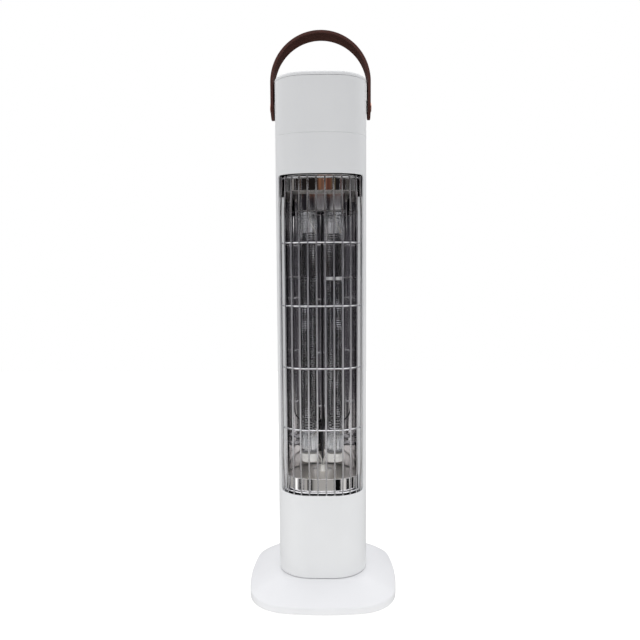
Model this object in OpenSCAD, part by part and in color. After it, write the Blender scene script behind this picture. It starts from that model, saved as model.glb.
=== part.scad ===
// Free-standing carbon heater: a rounded-square column with a wire guard,
// on a wide low base that it swings on, with a strap handle over the top.
// Front is -Y, up is +Z, and the origin lies on the floor under the column.

/* [Column] */
// Outer width and depth of the column, mm
body_w = 110; // [109:0.5:111]
// Wall thickness of the column shells, mm
wall = 2; // [1.6:0.1:2.2]
// Height of the window's lower edge, mm
window_z0 = 130; // [130:0.5:132]
// Height of the window's upper edge, mm
window_z1 = 512; // [511:0.5:514]
// Height of the joint between column and head, mm
seam_z = 558; // [555:1:562]
// Rows of air slots at each end of the back shell
slot_rows = 9; // [4:1:9]

/* [Base] */
// Width and depth of the base, mm
base_w = 184.6; // [184:0.2:190]
// Height of the base's flat top under the column, mm
base_top = 27; // [26.8:0.1:27]
// Thickness of the ballast plate, mm
ballast_t = 5; // [3:0.5:6]

/* [Guard] */
// Thickness of a guard wire, mm
wire_d = 2.0; // [1.8:0.1:2.0]
// Distance between upright wires along the guard's curve, mm
wire_pitch = 10.2; // [9.8:0.1:10.4]
// Number of rings
ring_count = 6; // [4:1:8]

/* [Lamps] */
// Outer diameter of a quartz tube, mm
tube_d = 21; // [20:0.5:21]
// Distance of each tube from the middle plane, mm
tube_x = 15.6; // [15:0.2:16]
// Depth position of the tubes, mm
tube_y = -12; // [-13:0.5:-11]
// Height of one ridge of the filament sleeve, mm
coil_pitch = 2.5; // [2:0.5:6]

/* [Handle] */
// Width of the strap, mm
strap_w = 30; // [24:1:32]
// Thickness of the strap, mm
strap_t = 3.6; // [3:0.1:4]
// Height of the handle's pivots, mm
pivot_z = 597; // [595:0.5:599]

/* [Swing drive] */
// Teeth on the hub gear, module 1
gear_teeth = 52; // [52:4:52]
// Teeth on the motor's pinion, module 1
pinion_teeth = 16; // [16:2:16]

/* [Controls] */
// Diameter of a push button, mm
button_d = 11; // [9:0.5:12]
// Distance between the buttons, mm
button_gap = 19; // [15:1:20]

/* [Hidden] */
a0 = body_w/2;
side_c = 246.5;      // how far behind the axis each side's arc is centred
corner_r = 39.8;
base_a = base_w/2;
base_c = 226.9;
base_r = 49.9;
foot_z = 27.8;       // underside of the column
top_z = 626.2;
floor_z = 148.5;     // top of the lamp chamber's floor
ceil_z = 493.2;      // underside of its ceiling
hub_r = 20.2;
gear_x = (gear_teeth + pinion_teeth)/2;
strap_ri = 56.5;     // inner radius of the strap's arch
arch_z = 624;        // centre of the arch
fine = 72;
guard_d = 1.5;       // how far the guard's wires lie inside the outline
guard_e = 1.6;       // how much further in its ends are bent
guard_s = 54.45;     // where the outermost wires are, along the outline
white = [0.91, 0.91, 0.92];
shine = [0.82, 0.82, 0.84];
steel = [0.62, 0.63, 0.65];
dark = [0.1, 0.1, 0.11];

// ---- shared shapes
function sq_k(a, c, r) = (-c + sqrt(2*pow(a + c - r, 2) - c*c))/2;
function sq_al(a, c, r) = let(k = sq_k(a, c, r)) atan2(k, k + c);
// a quarter of the rounded square, from the middle of the front to the middle of the side, d inside the outline
function sq_q(a, c, r, d) = let(k = sq_k(a, c, r), al = sq_al(a, c, r), R = a + c - d) concat(
  [for (i = [0:2]) [R*sin(al*i/3), c - R*cos(al*i/3)]],
  [for (i = [0:10]) let(t = al + (90 - 2*al)*i/10) [k + (r - d)*sin(t), -k - (r - d)*cos(t)]],
  [for (i = [2:-1:1]) [R*cos(al*i/3) - c, -R*sin(al*i/3)]]);
function squircle(a, c, r, d) = [for (q = [0:3]) for (p = sq_q(a, c, r, d)) [p.x*cos(90*q) - p.y*sin(90*q), p.x*sin(90*q) + p.y*cos(90*q)]];
module body2d(d = 0) { polygon(squircle(a0, side_c, corner_r, d)); }
module base2d(d = 0) { polygon(squircle(base_a, base_c, base_r, d)); }
module slab(z0, z1) { translate([0, 0, z0]) linear_extrude(z1 - z0) children(); }
// closed solid through rings of [inset, height]
module loft(rings, a, c, r) {
  n = 64; m = len(rings);
  pts = [for (g = rings) for (p = squircle(a, c, r, g[0])) [p.x, p.y, g[1]]];
  polyhedron(pts, concat([[for (i = [0:n - 1]) i]],
    [for (j = [0:m - 2]) for (i = [0:n - 1]) [j*n + i, (j + 1)*n + i, (j + 1)*n + (i + 1)%n, j*n + (i + 1)%n]],
    [[for (i = [n - 1:-1:0]) (m - 1)*n + i]]), convexity = 6);
}
module ring(ro, ri, z0, z1) {
  translate([0, 0, z0]) difference() { cylinder(r = ro, h = z1 - z0, $fn = fine); translate([0, 0, -1]) cylinder(r = ri, h = z1 - z0 + 2, $fn = fine); }
}
module rod(r, z0, z1) { translate([0, 0, z0]) cylinder(r = r, h = z1 - z0, $fn = 36); }
module bar3(p, q, r) {           // round rod from p to q
  v = q - p; l = norm(v);
  translate(p) rotate([0, acos(v.z/l), atan2(v.y, v.x)]) cylinder(r = r, h = l, $fn = 16);
}
module box(p, q) { translate(p) cube(q - p); }
// countersunk screw, head up at z = 0, shank down
module pan_screw(rh, hh, rs, l) { union() { difference() { cylinder(r = rh, h = hh, $fn = 32); translate([-rh*0.7, -0.4, hh*0.45]) cube([rh*1.4, 0.8, hh]); translate([-0.4, -rh*0.7, hh*0.45]) cube([0.8, rh*1.4, hh]); } translate([0, 0, -l]) cylinder(r = rs, h = l + 0.1, $fn = 32); } }
// involute spur gear outline, module 1
function inv_pt(rb, t) = [rb*(cos(t) + t*PI/180*sin(t)), rb*(sin(t) - t*PI/180*cos(t))];
function inv_ang(rb, r) = let(t = sqrt(pow(r/rb, 2) - 1)) t*180/PI - atan(t);
function gear_pts(z, add, ded, lash) = let(rp = z/2, rb = rp*cos(20), ro = rp + add, rr = rp - ded,
  half = 90/z - lash/rp*90/PI + inv_ang(rb, rp), r0 = max(rb, rr))
  [for (i = [0:z - 1]) let(c = 360*i/z) each concat(
    [[rr*cos(c - half), rr*sin(c - half)]],
    [for (j = [0:3]) let(r = r0 + (ro - r0)*j/3, g = c - half + inv_ang(rb, r)) [r*cos(g), r*sin(g)]],
    [for (j = [3:-1:0]) let(r = r0 + (ro - r0)*j/3, g = c + half - inv_ang(rb, r)) [r*cos(g), r*sin(g)]],
    [[rr*cos(c + half), rr*sin(c + half)]])];
// point on the column's front outline, d inside it, s along it from the middle
function front_pt(s, d) = let(k = sq_k(a0, side_c, corner_r), al = sq_al(a0, side_c, corner_r), R = a0 + side_c - d,
  lf = R*al*PI/180, u = abs(s), sg = s < 0 ? -1 : 1)
  u <= lf ? [sg*R*sin(u/R*180/PI), side_c - R*cos(u/R*180/PI)]
  : let(t = al + (u - lf)/(corner_r - d)*180/PI) [sg*(k + (corner_r - d)*sin(t)), -k - (corner_r - d)*cos(t)];
function front_dir(s) = let(al = sq_al(a0, side_c, corner_r), R = a0 + side_c - guard_d, lf = R*al*PI/180, u = abs(s), sg = s < 0 ? -1 : 1)
  sg*(u <= lf ? u/R*180/PI : al + (u - lf)/(corner_r - guard_d)*180/PI);

// ---- base
dome = [for (i = [0:8]) let(t = i/8) [1.6 + 35.7*t, 10.4 + (base_top - 10.4)*(1.35*t - 0.35*t*t)]];
motor_p = [51.5, 0, 0];
screw_p = [[72, 30], [-72, 30], [72, -30], [-72, -30]];
feet_p = [[62, 62], [-62, 62], [62, -62], [-62, -62]];
module base_cover() { color(white) union() {
  difference() {
    loft(concat([[0.6, 1.2], [0, 2], [0, 8.4], [0.5, 9.6]], dome), base_a, base_c, base_r);
    loft(concat([[2.6, 1.0], [2.6, 7.0], [4.4, 8.6]], [for (i = [1:2:7]) [dome[i][0] + 1.4, dome[i][1] - 2.7]], [[39, base_top - 2.6]]), base_a, base_c, base_r);
    rod(24.05, 20, 30);
    translate([0, 96, 5.4]) rotate([90, 0, 0]) cylinder(r = 3.85, h = 16, $fn = 36);
    box([-3.85, 80, 0], [3.85, 96, 5.4]);
  }
  for (p = screw_p) translate([p.x, p.y, 3.1]) difference() { cylinder(r = 4, h = 13.6, $fn = 32); translate([0, 0, -1]) cylinder(r = 1.5, h = 11, $fn = 32); }
} }
module base_plate() { color([0.2, 0.2, 0.21]) difference() {
  slab(1.5, 3.0) base2d(3.0);
  for (p = screw_p) translate([p.x, p.y, 0]) cylinder(r = 2.2, h = 5, $fn = 32);
  for (p = feet_p) translate([p.x, p.y, 0]) cylinder(r = 3.1, h = 5, $fn = 32);
  translate([-52, 0, 0]) cylinder(r = 2.9, h = 5, $fn = 32);
  box([-4.2, 84, 0], [4.2, 96, 5]);
  for (y = [-25.5, 25.5]) translate([51.5, y, 0]) cylinder(r = 1.7, h = 5, $fn = 32);
} }
module ballast_plate() { color([0.35, 0.36, 0.38]) difference() {
  slab(3.05, 3.05 + ballast_t) base2d(11);
  rod(31, 0, 20);
  translate(motor_p) rod(31.5, 0, 20);
  box([-68, -14, 0], [-38, 18, 20]);
  box([-19, 20, 0], [19, 96, 20]);
  for (p = screw_p) translate([p.x, p.y, 0]) cylinder(r = 5, h = 20, $fn = 32);
  for (p = feet_p) translate([p.x, p.y, 0]) cylinder(r = 5.5, h = 20, $fn = 32);
} }
module rubber_feet() { color(dark) for (p = feet_p) translate([p.x, p.y, 0]) union() { rod(8, 0, 1.5); rod(3, 1.4, 3.1); rod(4.4, 3.05, 4.4); } }
module base_screws() { color(steel) for (p = screw_p) translate([p.x, p.y, 1.5]) rotate([180, 0, 0]) pan_screw(3.4, 1.1, 1.45, 9.5); }
module cable_grommet() { color(dark) difference() {
  union() {
    translate([0, 92.0, 5.4]) rotate([90, 0, 0]) cylinder(r = 3.8, h = 7, $fn = 48);
    box([-3.8, 85, 1.6], [3.8, 92.0, 5.4]);
    box([-6.4, 84.9, 3.1], [6.4, 87.0, 8.6]);
  }
  translate([0, 93, 5.4]) rotate([90, 0, 0]) cylinder(r = 3.1, h = 10, $fn = 48);
} }
module terminal_block() { color([0.85, 0.84, 0.8]) difference() {
  box([-13, 36, 3.05], [13, 49, 12.5]);
  for (x = [-8, 0, 8]) { translate([x, 42.5, 9]) cylinder(r = 2, h = 5, $fn = 24); translate([x, 50, 7]) rotate([90, 0, 0]) cylinder(r = 1.9, h = 15, $fn = 24); }
} }
module base_wires() { color("saddlebrown") for (x = [-8, 0, 8]) { bar3([x, 48.4, 7], [x, 32, 7], 1.4); bar3([x, 33, 7], [x*0.4, 4 + abs(x)*0.1, 7], 1.3); } }
module tip_bracket() { color(steel) difference() {
  union() { box([-62, -7, 15], [-42, 7, 16]); box([-62, -7, 3.05], [-61, 7, 15.1]); box([-43, -7, 3.05], [-42, 7, 15.1]); box([-67, -7, 3.05], [-61, 7, 4.05]); }
  translate([-52, 0, 10]) cylinder(r = 2.7, h = 10, $fn = 32);
  translate([-64.5, 0, 0]) cylinder(r = 1.5, h = 8, $fn = 24);
} }
module tip_switch() { color(dark) union() {
  box([-62, 7.05, 6], [-42, 13.5, 16.2]);
  box([-60, -3, 17.3], [-59.4, 10, 17.7]); box([-60, 9, 16.1], [-44, 10, 17.7]); box([-60, -3, 17.3], [-48, 9.1, 17.7]);
  for (x = [-58, -52, -46]) box([x - 0.4, 8.5, 3.4], [x + 0.4, 11.5, 6.1]);
} }
module tip_plunger() { color([0.85, 0.2, 0.15]) translate([-52, 0, 0]) union() { rod(5, 0, 1.2); rod(2.5, 1, 17.2); rod(4.2, 6.5, 8); } }
module tip_spring() { color(steel) translate([-52, 0, 0]) for (i = [0:4]) translate([0, 0, 8.5 + i*1.4]) rotate_extrude($fn = 36) translate([3.5, 0]) circle(r = 0.4, $fn = 14); }
module swivel_bush() { color([0.93, 0.92, 0.88]) union() { ring(24, 20.27, 22.5, 26.95); ring(27.5, 20.27, 22.3, 24.3); } }
module swing_motor() { color(shine) union() {
  translate(motor_p) rod(21, 3.05, 14);
  difference() { box([47.5, -29.5, 3.05], [55.5, 29.5, 4.2]);
    for (y = [-25.5, 25.5]) translate([51.5, y, 0]) cylinder(r = 1.7, h = 8, $fn = 24); }
  translate([gear_x, 0, 0]) ring(3.6, 2.1, 13.9, 14.5);
} }
module motor_screws() { color(steel) for (y = [-25.5, 25.5]) translate([51.5, y, 4.2]) pan_screw(2.8, 1.4, 1.5, 2.6); }
module swing_pinion() { color([0.95, 0.95, 0.9]) translate([gear_x, 0, 0]) union() {
  translate([0, 0, 14.7]) rotate(180/pinion_teeth) linear_extrude(5.6) polygon(gear_pts(pinion_teeth, 0.9, 1.2, 0.16));
  rod(4.5, 20.2, 21.4); rod(2.0, 14.05, 15);
} }

// ---- turntable and hub
module slide_washer() { color([0.95, 0.95, 0.93]) ring(42, 25, 27.03, 27.77); }
module turntable() { color([0.25, 0.25, 0.27]) difference() {
  union() {
    slab(foot_z, 31) body2d(wall + 0.4);
    rod(hub_r, 20, 28); rod(18, 15, 20.1);
    for (x = [-12, 12]) box([x - 5, 42, 30.9], [x + 5, 52, 52]);
    for (x = [-28, 28]) box([x - 4, 13.7, 30.9], [x + 4, 18, 64]);
    for (x = [-34, 34]) box([x - 5, -38, 30.9], [x + 5, -30, 46]);
  }
  rod(12, 10, 40);
  for (i = [0:2]) rotate(120*i) translate([15, 0, 10]) cylinder(r = 1.3, h = 14, $fn = 24);
  for (x = [-12, 12]) translate([x, 54, 46]) rotate([90, 0, 0]) cylinder(r = 1.3, h = 10, $fn = 24);
} }
module hub_gear() { color([0.95, 0.95, 0.9]) difference() {
  translate([0, 0, 15.05]) linear_extrude(4.9) polygon(gear_pts(gear_teeth, 0.9, 1.2, 0.16));
  rod(18.05, 10, 25);
} }
module hub_retainer() { color(steel) difference() { ring(24, 12.2, 12.9, 14.98); for (i = [0:2]) rotate(120*i) translate([15, 0, 10]) cylinder(r = 1.6, h = 8, $fn = 24); } }
module hub_screws() { color(steel) for (i = [0:2]) rotate(120*i) translate([15, 0, 12.9]) rotate([180, 0, 0]) pan_screw(2.5, 1.2, 1.25, 9); }

// ---- column shells
split_y = 18;
module ring_wall(z0, z1, d0, d1) { difference() { slab(z0, z1) body2d(d0); slab(z0 - 1, z1 + 1) body2d(d1); } }
module shell(z0, z1) { difference() { slab(z0, z1) body2d(0); slab(z0 - 1, z1 + 1) body2d(wall); } }
function round_rect(y0, y1, z0, z1, r) = concat(
  [for (i = [0:6]) [y1 - r + r*cos(15*i), z1 - r + r*sin(15*i)]], [[y0, z1], [y0, z0]],
  [for (i = [0:6]) [y1 - r + r*sin(15*i), z0 + r - r*cos(15*i)]]);
module column_front_shell() { color(white) difference() {
  union() {
    difference() { shell(foot_z, seam_z); box([-80, split_y, 0], [80, 80, 700]); }
    for (z = [60, 300, 535]) {
      intersection() { ring_wall(z - 6, z + 6, wall - 0.1, wall + 1.8); box([-80, 12, 0], [80, split_y - 0.1, 700]); }
      intersection() { ring_wall(z - 6, z + 6, wall + 0.25, wall + 1.8); box([-80, 12.5, 0], [80, 24, 700]); }
    }
    for (s = [-1, 1]) box([s*46.65 - 2.85, -30.2, window_z0 - 4], [s*46.65 + 2.85, -28.7, window_z1 - 25]);
  }
  translate([-60, 0, 0]) rotate([90, 0, 90]) linear_extrude(120) polygon(round_rect(-70, -32, window_z0, window_z1, 3));
} }
module column_rear_shell() { color(white) difference() {
  shell(foot_z, seam_z);
  box([-80, -80, 0], [80, split_y + 0.3, 700]);
  for (s = [-1, 1]) for (i = [0:slot_rows - 1]) {
    box([s*14 - 10, 48, 66 + i*7], [s*14 + 10, 60, 69 + i*7]);
    box([s*14 - 10, 48, 432 + i*7], [s*14 + 10, 60, 435 + i*7]);
  }
  for (s = [-1, 1]) for (z = [46, 528]) { translate([s*12, 60, z]) rotate([90, 0, 0]) cylinder(r = 1.8, h = 20, $fn = 24); translate([s*12, 60, z]) rotate([90, 0, 0]) cylinder(r = 3.7, h = 6, $fn = 32); }
} }
module rear_screws() { color(steel) for (s = [-1, 1]) for (z = [46, 528]) translate([s*12, 54.02, z]) rotate([-90, 0, 0]) pan_screw(3.3, 1.0, 1.2, 8); }

// ---- lamp chamber
function trough(e) = [for (i = [0:32]) let(t = 180*i/32) [(43 + e)*cos(t), -27 + (43 + e)*sin(t)]];
module reflector() { color(shine) difference() {
  slab(floor_z + 0.1, ceil_z - 0.1) polygon(concat(trough(0), [for (i = [len(trough(0)) - 1:-1:0]) trough(0.8)[i]]));
  for (s = [-1, 1]) box([s*tube_x - 4.2, 0, 174.2], [s*tube_x + 4.2, 25, 176.3]);
} }
module heat_shield() { color(steel) slab(floor_z, ceil_z) polygon(concat(
  [for (i = [0:20]) let(t = 12 + 156*i/20) [49*cos(t), -27 + 51*sin(t)]], [for (i = [20:-1:0]) let(t = 12 + 156*i/20) [48.2*cos(t), -27 + 50.2*sin(t)]])); }
module cap2d(d0) { intersection() { body2d(d0); translate([-60, -60]) square([120, 78]); } }
module lower_end_cap() { color(shine) difference() {
  union() {
    difference() { slab(125, floor_z - 0.05) cap2d(7.9); slab(120, floor_z - 1.2) cap2d(8.9); box([-70, -24, 120], [70, 40, floor_z - 1.2]); }
    slab(floor_z - 1.25, floor_z - 0.05) cap2d(7.9);
  }
  translate([0.5, -14, 120]) cylinder(r = 2.6, h = 40, $fn = 32);
  for (x = [-9, 9]) translate([x, -5, 120]) cylinder(r = 1.2, h = 40, $fn = 24);
} }
module upper_end_cap() { color(shine) difference() {
  union() {
    difference() { slab(ceil_z + 0.05, 517) cap2d(7.9); slab(ceil_z + 1.2, 520) cap2d(8.9); box([-70, -24, ceil_z + 1.2], [70, 40, 520]); }
    slab(ceil_z + 0.05, ceil_z + 1.25) cap2d(7.9);
  }
  for (x = [-tube_x, tube_x]) translate([x, tube_y + 14, 480]) cylinder(r = 3, h = 30, $fn = 32);
} }
ring_z = [for (i = [0:ring_count - 1]) i == 0 ? window_z0 + 0.9 : i == ring_count - 1 ? window_z1 - 4.5 : 134 + 372*i/(ring_count - 1)];
module guard_bar(s) {
  p = front_pt(s, guard_d); w = wire_d/2; e = guard_e;
  translate([p.x, p.y, 0]) rotate([90, 0, front_dir(s)]) rotate([0, 90, 0]) translate([0, 0, -w]) linear_extrude(wire_d)
    polygon([[-w, 168], [-w, 468], [e - w, 500], [e - w, 510.5], [e + w, 510.5], [e + w, 500], [w, 468], [w, 168], [e + w, 142], [e + w, window_z0 - 1.4], [e - w, window_z0 - 1.4], [e - w, 142]]);
}
module guard_ring(z, d, short) {
  n = 24; e = guard_s - short;
  slab(z, z + wire_d) polygon(concat([for (i = [-n/2:n/2]) front_pt(e*2*i/n, d)], [for (i = [n/2:-1:-n/2]) front_pt(e*2*i/n, d + wire_d)]));
}
module guard_bars() { color(shine) for (i = [0:5]) for (sg = [-1, 1]) guard_bar(sg*(i < 5 ? (i + 0.5)*wire_pitch : guard_s)); }
module guard_rings() { color(shine) union() {
  for (i = [0:ring_count - 1]) let(end = i == 0 || i == ring_count - 1) guard_ring(ring_z[i], guard_d + wire_d/2 + 0.05 + (end ? guard_e : 0), end ? 4.4 : 1.6);
} }
module quartz(x) { color([0.8, 0.82, 0.85, 0.4]) translate([x, tube_y, 0]) ring(tube_d/2, tube_d/2 - 1.3, 176.2, 471); }
module quartz_tube_left() { quartz(-tube_x); }
module quartz_tube_right() { quartz(tube_x); }
module filament(x) { color([0.12, 0.11, 0.13]) translate([x, tube_y, 0]) union() {
  n = floor(246/coil_pitch);
  rotate_extrude($fn = 36) polygon(concat([[7.2, 200 + n*coil_pitch], [7.2, 200]], [for (i = [0:n - 1]) each [[7.9, 200 + i*coil_pitch], [8.6, 200 + (i + 0.5)*coil_pitch]]], [[7.9, 200 + n*coil_pitch]]));
  bar3([7.4, 0, 199.95], [3, 0, 178.3], 0.6); bar3([7.4, 0, 200 + n*coil_pitch + 0.05], [3, 0, 468.7], 0.6);
} }
module filament_left() { filament(-tube_x); }
module filament_right() { filament(tube_x); }
module lower_ceramics() { color([0.95, 0.94, 0.9]) for (x = [-tube_x, tube_x]) translate([x, tube_y, 0]) union() { rod(11.3, 162, 172.4); rod(7, 172.3, 178.2); } }
module upper_ceramics() { color([0.95, 0.94, 0.9]) for (x = [-tube_x, tube_x]) translate([x, tube_y, 0]) union() { rod(11.3, 475, 485.5); rod(7, 468.8, 475.1); } }
module lower_bracket() { color(steel) for (s = [-1, 1]) difference() {
  union() { box([s*tube_x - 9.5, -23, 174.5], [s*tube_x + 9.5, 7.6, 176.0]); box([s*tube_x - 4, 7.5, 174.5], [s*tube_x + 4, 17.5, 176.0]); }
  translate([s*tube_x, tube_y, 170]) cylinder(r = 7.2, h = 10, $fn = 48);
} }
module upper_bracket() { color(steel) difference() {
  union() { box([-28.6, -25, 471.2], [28.6, 1, 472.7]); for (s = [-1, 1]) box([s*28 - 0.6, -25, 472.6], [s*28 + 0.6, -6, ceil_z]); box([-28.6, -25, 472.6], [28.6, -23.8, ceil_z]); }
  for (x = [-tube_x, tube_x]) translate([x, tube_y, 465]) cylinder(r = 7.2, h = 10, $fn = 48);
} }
module tube_clip() { color(shine) translate([tube_x, tube_y, 0]) union() { ring(11.6, 10.6, 388, 392); box([-3, 11.1, 389], [-2, 24, 391]); } }
module lead_bushing() { color([0.95, 0.94, 0.9]) translate([0.5, -14, 0]) difference() { union() { rod(2.5, 144, floor_z + 8.5); rod(4.2, floor_z, floor_z + 1.4); } rod(1.7, 140, 170); } }
module heater_leads() { color(dark) union() {
  bar3([0.5, -14, 139], [0.5, -14, 162], 1.5);
  bar3([0.5, -14, 160.6], [0.5, -11, 192], 1.2);
  bar3([0.5, -11, 191], [0.2, 9, 206], 1.1);
  bar3([0.2, 9, 205], [0.2, 9, 488], 1.1);
} }
module thermal_cutout() { color(dark) union() { translate([-20, 0, 0]) rod(7, floor_z - 7.4, floor_z - 1.3); for (s = [-1, 1]) box([-20 + s*4 - 0.4, -2.5, floor_z - 14], [-20 + s*4 + 0.4, 2.5, floor_z - 7.3]); } }
module wire_loom() { color("dimgray") union() {
  rod(3.0, 9.5, 35);
  bar3([0, 0, 34], [0, 30, 48], 2.8); bar3([0, 30, 46.5], [0, 30, 585], 2.6);
} }
module power_board() { color([0.1, 0.4, 0.2]) union() {
  box([-34, 12, 52], [34, 13.6, 118]);
  for (x = [-30, -12, 6]) box([x, -3, 60], [x + 14, 12.1, 80]);
  translate([26, 2, 95]) rod(6, -10, 12);
  for (z = [90, 100]) box([-28, 3, z], [-6, 12.1, z + 7]);
} }
// ---- head
module upper_deck() { color(steel) difference() {
  union() { slab(519, 520.5) body2d(wall + 0.5); for (x = [-12, 12]) box([x - 5, 42, 520.4], [x + 5, 51.9, 536]); }
  translate([0, 30, 500]) cylinder(r = 3.4, h = 30, $fn = 32);
  for (x = [-12, 12]) translate([x, 54, 528]) rotate([90, 0, 0]) cylinder(r = 1.3, h = 10, $fn = 24);
} }
module head_shell() { color(white) difference() {
  union() { difference() { slab(seam_z + 0.4, 621.6) body2d(0); slab(seam_z - 1, 630) body2d(2.4); }
    difference() { slab(seam_z - 7, seam_z + 3) body2d(wall + 0.3); slab(seam_z - 8, seam_z + 4) body2d(wall + 2.2); } }
  translate([-70, 0, pivot_z]) rotate([0, 90, 0]) cylinder(r = 3.2, h = 140, $fn = 48);
} }
module handle_bracket() { color(steel) difference() {
  union() { box([-52.3, -9, 586], [52.3, 9, 588]); for (s = [-1, 1]) box([s*51.3 - 1, -9, 587.9], [s*51.3 + 1, 9, 606]); }
  translate([-70, 0, pivot_z]) rotate([0, 90, 0]) cylinder(r = 2.6, h = 140, $fn = 48);
} }
module handle_screws() { color([0.72, 0.5, 0.36]) for (s = [-1, 1]) translate([0, 0, pivot_z]) rotate([0, s*90, 0]) union() {
  difference() { union() { translate([0, 0, 60.15]) cylinder(r = 6, h = 0.9, $fn = 48); translate([0, 0, 61]) cylinder(r1 = 6, r2 = 5, h = 0.6, $fn = 48); } translate([-4, -0.6, 61]) cube([8, 1.2, 2]); }
  translate([0, 0, 52.35]) cylinder(r = 3, h = 7.9, $fn = 48); translate([0, 0, 44]) cylinder(r = 2.5, h = 8.4, $fn = 48);
} }
module handle_nuts() { color(steel) for (s = [-1, 1]) translate([0, 0, pivot_z]) rotate([0, s*90, 0]) difference() { translate([0, 0, 46.2]) cylinder(r = 4.6, h = 4, $fn = 6); translate([0, 0, 40]) cylinder(r = 2.55, h = 20, $fn = 48); } }
module handle_spacers() { color([0.85, 0.85, 0.85]) for (s = [-1, 1]) translate([0, 0, pivot_z]) rotate([0, s*90, 0]) translate([0, 0, 0]) ring(8, 3.1, 55.05, 56.4); }
module handle_strap() { ro = strap_ri + strap_t; color([0.38, 0.2, 0.15]) difference() {
  intersection() {
    translate([0, strap_w/2, 0]) rotate([90, 0, 0]) linear_extrude(strap_w) union() {
      difference() { translate([0, arch_z]) circle(r = ro, $fn = 96); translate([0, arch_z]) circle(r = strap_ri, $fn = 96); translate([-80, 500]) square([160, arch_z - 500]); }
      for (s = [-1, 1]) translate([s*(strap_ri + strap_t/2) - strap_t/2, 570]) square([strap_t, arch_z - 570]);
    }
    translate([-80, 0, 0]) rotate([90, 0, 90]) linear_extrude(160) union() { translate([-strap_w/2, pivot_z]) square([strap_w, 100]); translate([0, pivot_z]) circle(r = strap_w/2, $fn = 72); }
  }
  translate([-70, 0, pivot_z]) rotate([0, 90, 0]) cylinder(r = 3.08, h = 140, $fn = 48);
} }
but_y = -12;
module fascia2d(g) { hull() for (s = [-1, 1]) translate([s*(button_gap + 4), but_y]) circle(r = 12 + g, $fn = 48); }
module top_lid() { color(white) difference() {
  union() {
    loft([[0, 621.7], [0, 622.6], [0.4, 623.8], [1.2, 625.0], [2.6, top_z]], a0, side_c, corner_r);
    difference() { slab(615, 621.8) body2d(2.7); slab(614, 622) body2d(4.5); }
    for (s = [-1, 1]) for (y = [-28, 8]) translate([s*36, y, 609.2]) cylinder(r = 3, h = 13, $fn = 32);
  }
  translate([0, 0, 625]) linear_extrude(5) fascia2d(0.1);
  for (i = [-1:1]) translate([i*button_gap, but_y, 610]) cylinder(r = button_d/2 + 0.3, h = 30, $fn = 48);
  translate([0, but_y, 600]) linear_extrude(22.6) square([2*button_gap + 16, 20], center = true);
  for (s = [-1, 1]) for (y = [-28, 8]) translate([s*36, y, 600]) cylinder(r = 1.2, h = 18, $fn = 24);
} }
module control_fascia() { color([0.13, 0.13, 0.14]) difference() {
  translate([0, 0, 625.02]) linear_extrude(top_z - 625.12) fascia2d(0);
  for (i = [-1:1]) translate([i*button_gap, but_y, 610]) cylinder(r = button_d/2 + 0.3, h = 30, $fn = 48);
  box([-8.1, but_y + 7.9, 620], [8.1, but_y + 10.1, 630]);
} }
module indicator_lens() { color([0.9, 0.6, 0.3]) box([-8, but_y + 8, 625.03], [8, but_y + 10, top_z - 0.05]); }
module button(i) { color([0.86, 0.86, 0.87]) translate([i*button_gap, but_y, 0]) union() { rod(button_d/2, 621.4, top_z + 0.8); rod(button_d/2 + 1, 620.9, 622.4); rod(2, 613.3, 621.0); } }
module button_heat() { button(-1); }
module button_swing() { button(0); }
module button_timer() { button(1); }
module control_board() { color([0.1, 0.4, 0.2]) difference() {
  box([-42, -33, 607.6], [42, 13, 609.15]);
  for (s = [-1, 1]) for (y = [-28, 8]) translate([s*36, y, 600]) cylinder(r = 1.4, h = 18, $fn = 24);
} }
module tact_switches() { color(dark) for (i = [-1:1]) translate([i*button_gap, but_y, 0]) union() { translate([0, 0, 610.7]) cube([6, 6, 3.1], center = true); rod(1.7, 612.2, 612.25); } }
module board_screws() { color(steel) for (s = [-1, 1]) for (y = [-28, 8]) translate([s*36, y, 607.6]) rotate([180, 0, 0]) pan_screw(2.6, 1.1, 1.1, 7); }

base_cover();
base_plate();
ballast_plate();
rubber_feet();
base_screws();
cable_grommet();
terminal_block();
base_wires();
tip_switch();
tip_bracket();
tip_plunger();
tip_spring();
swivel_bush();
swing_motor();
motor_screws();
swing_pinion();
slide_washer();
turntable();
hub_gear();
hub_retainer();
hub_screws();
column_front_shell();
column_rear_shell();
rear_screws();
lower_end_cap();
upper_end_cap();
reflector();
heat_shield();
guard_bars();
guard_rings();
quartz_tube_left();
quartz_tube_right();
filament_left();
filament_right();
lower_ceramics();
upper_ceramics();
lower_bracket();
upper_bracket();
tube_clip();
lead_bushing();
heater_leads();
thermal_cutout();
wire_loom();
power_board();
upper_deck();
head_shell();
handle_bracket();
handle_screws();
handle_nuts();
handle_spacers();
handle_strap();
top_lid();
control_fascia();
indicator_lens();
button_heat();
button_swing();
button_timer();
control_board();
tact_switches();
board_screws();
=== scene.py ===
import bpy
import math
import numpy as np
from mathutils import Vector, Matrix
from mathutils.geometry import delaunay_2d_cdt


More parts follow.
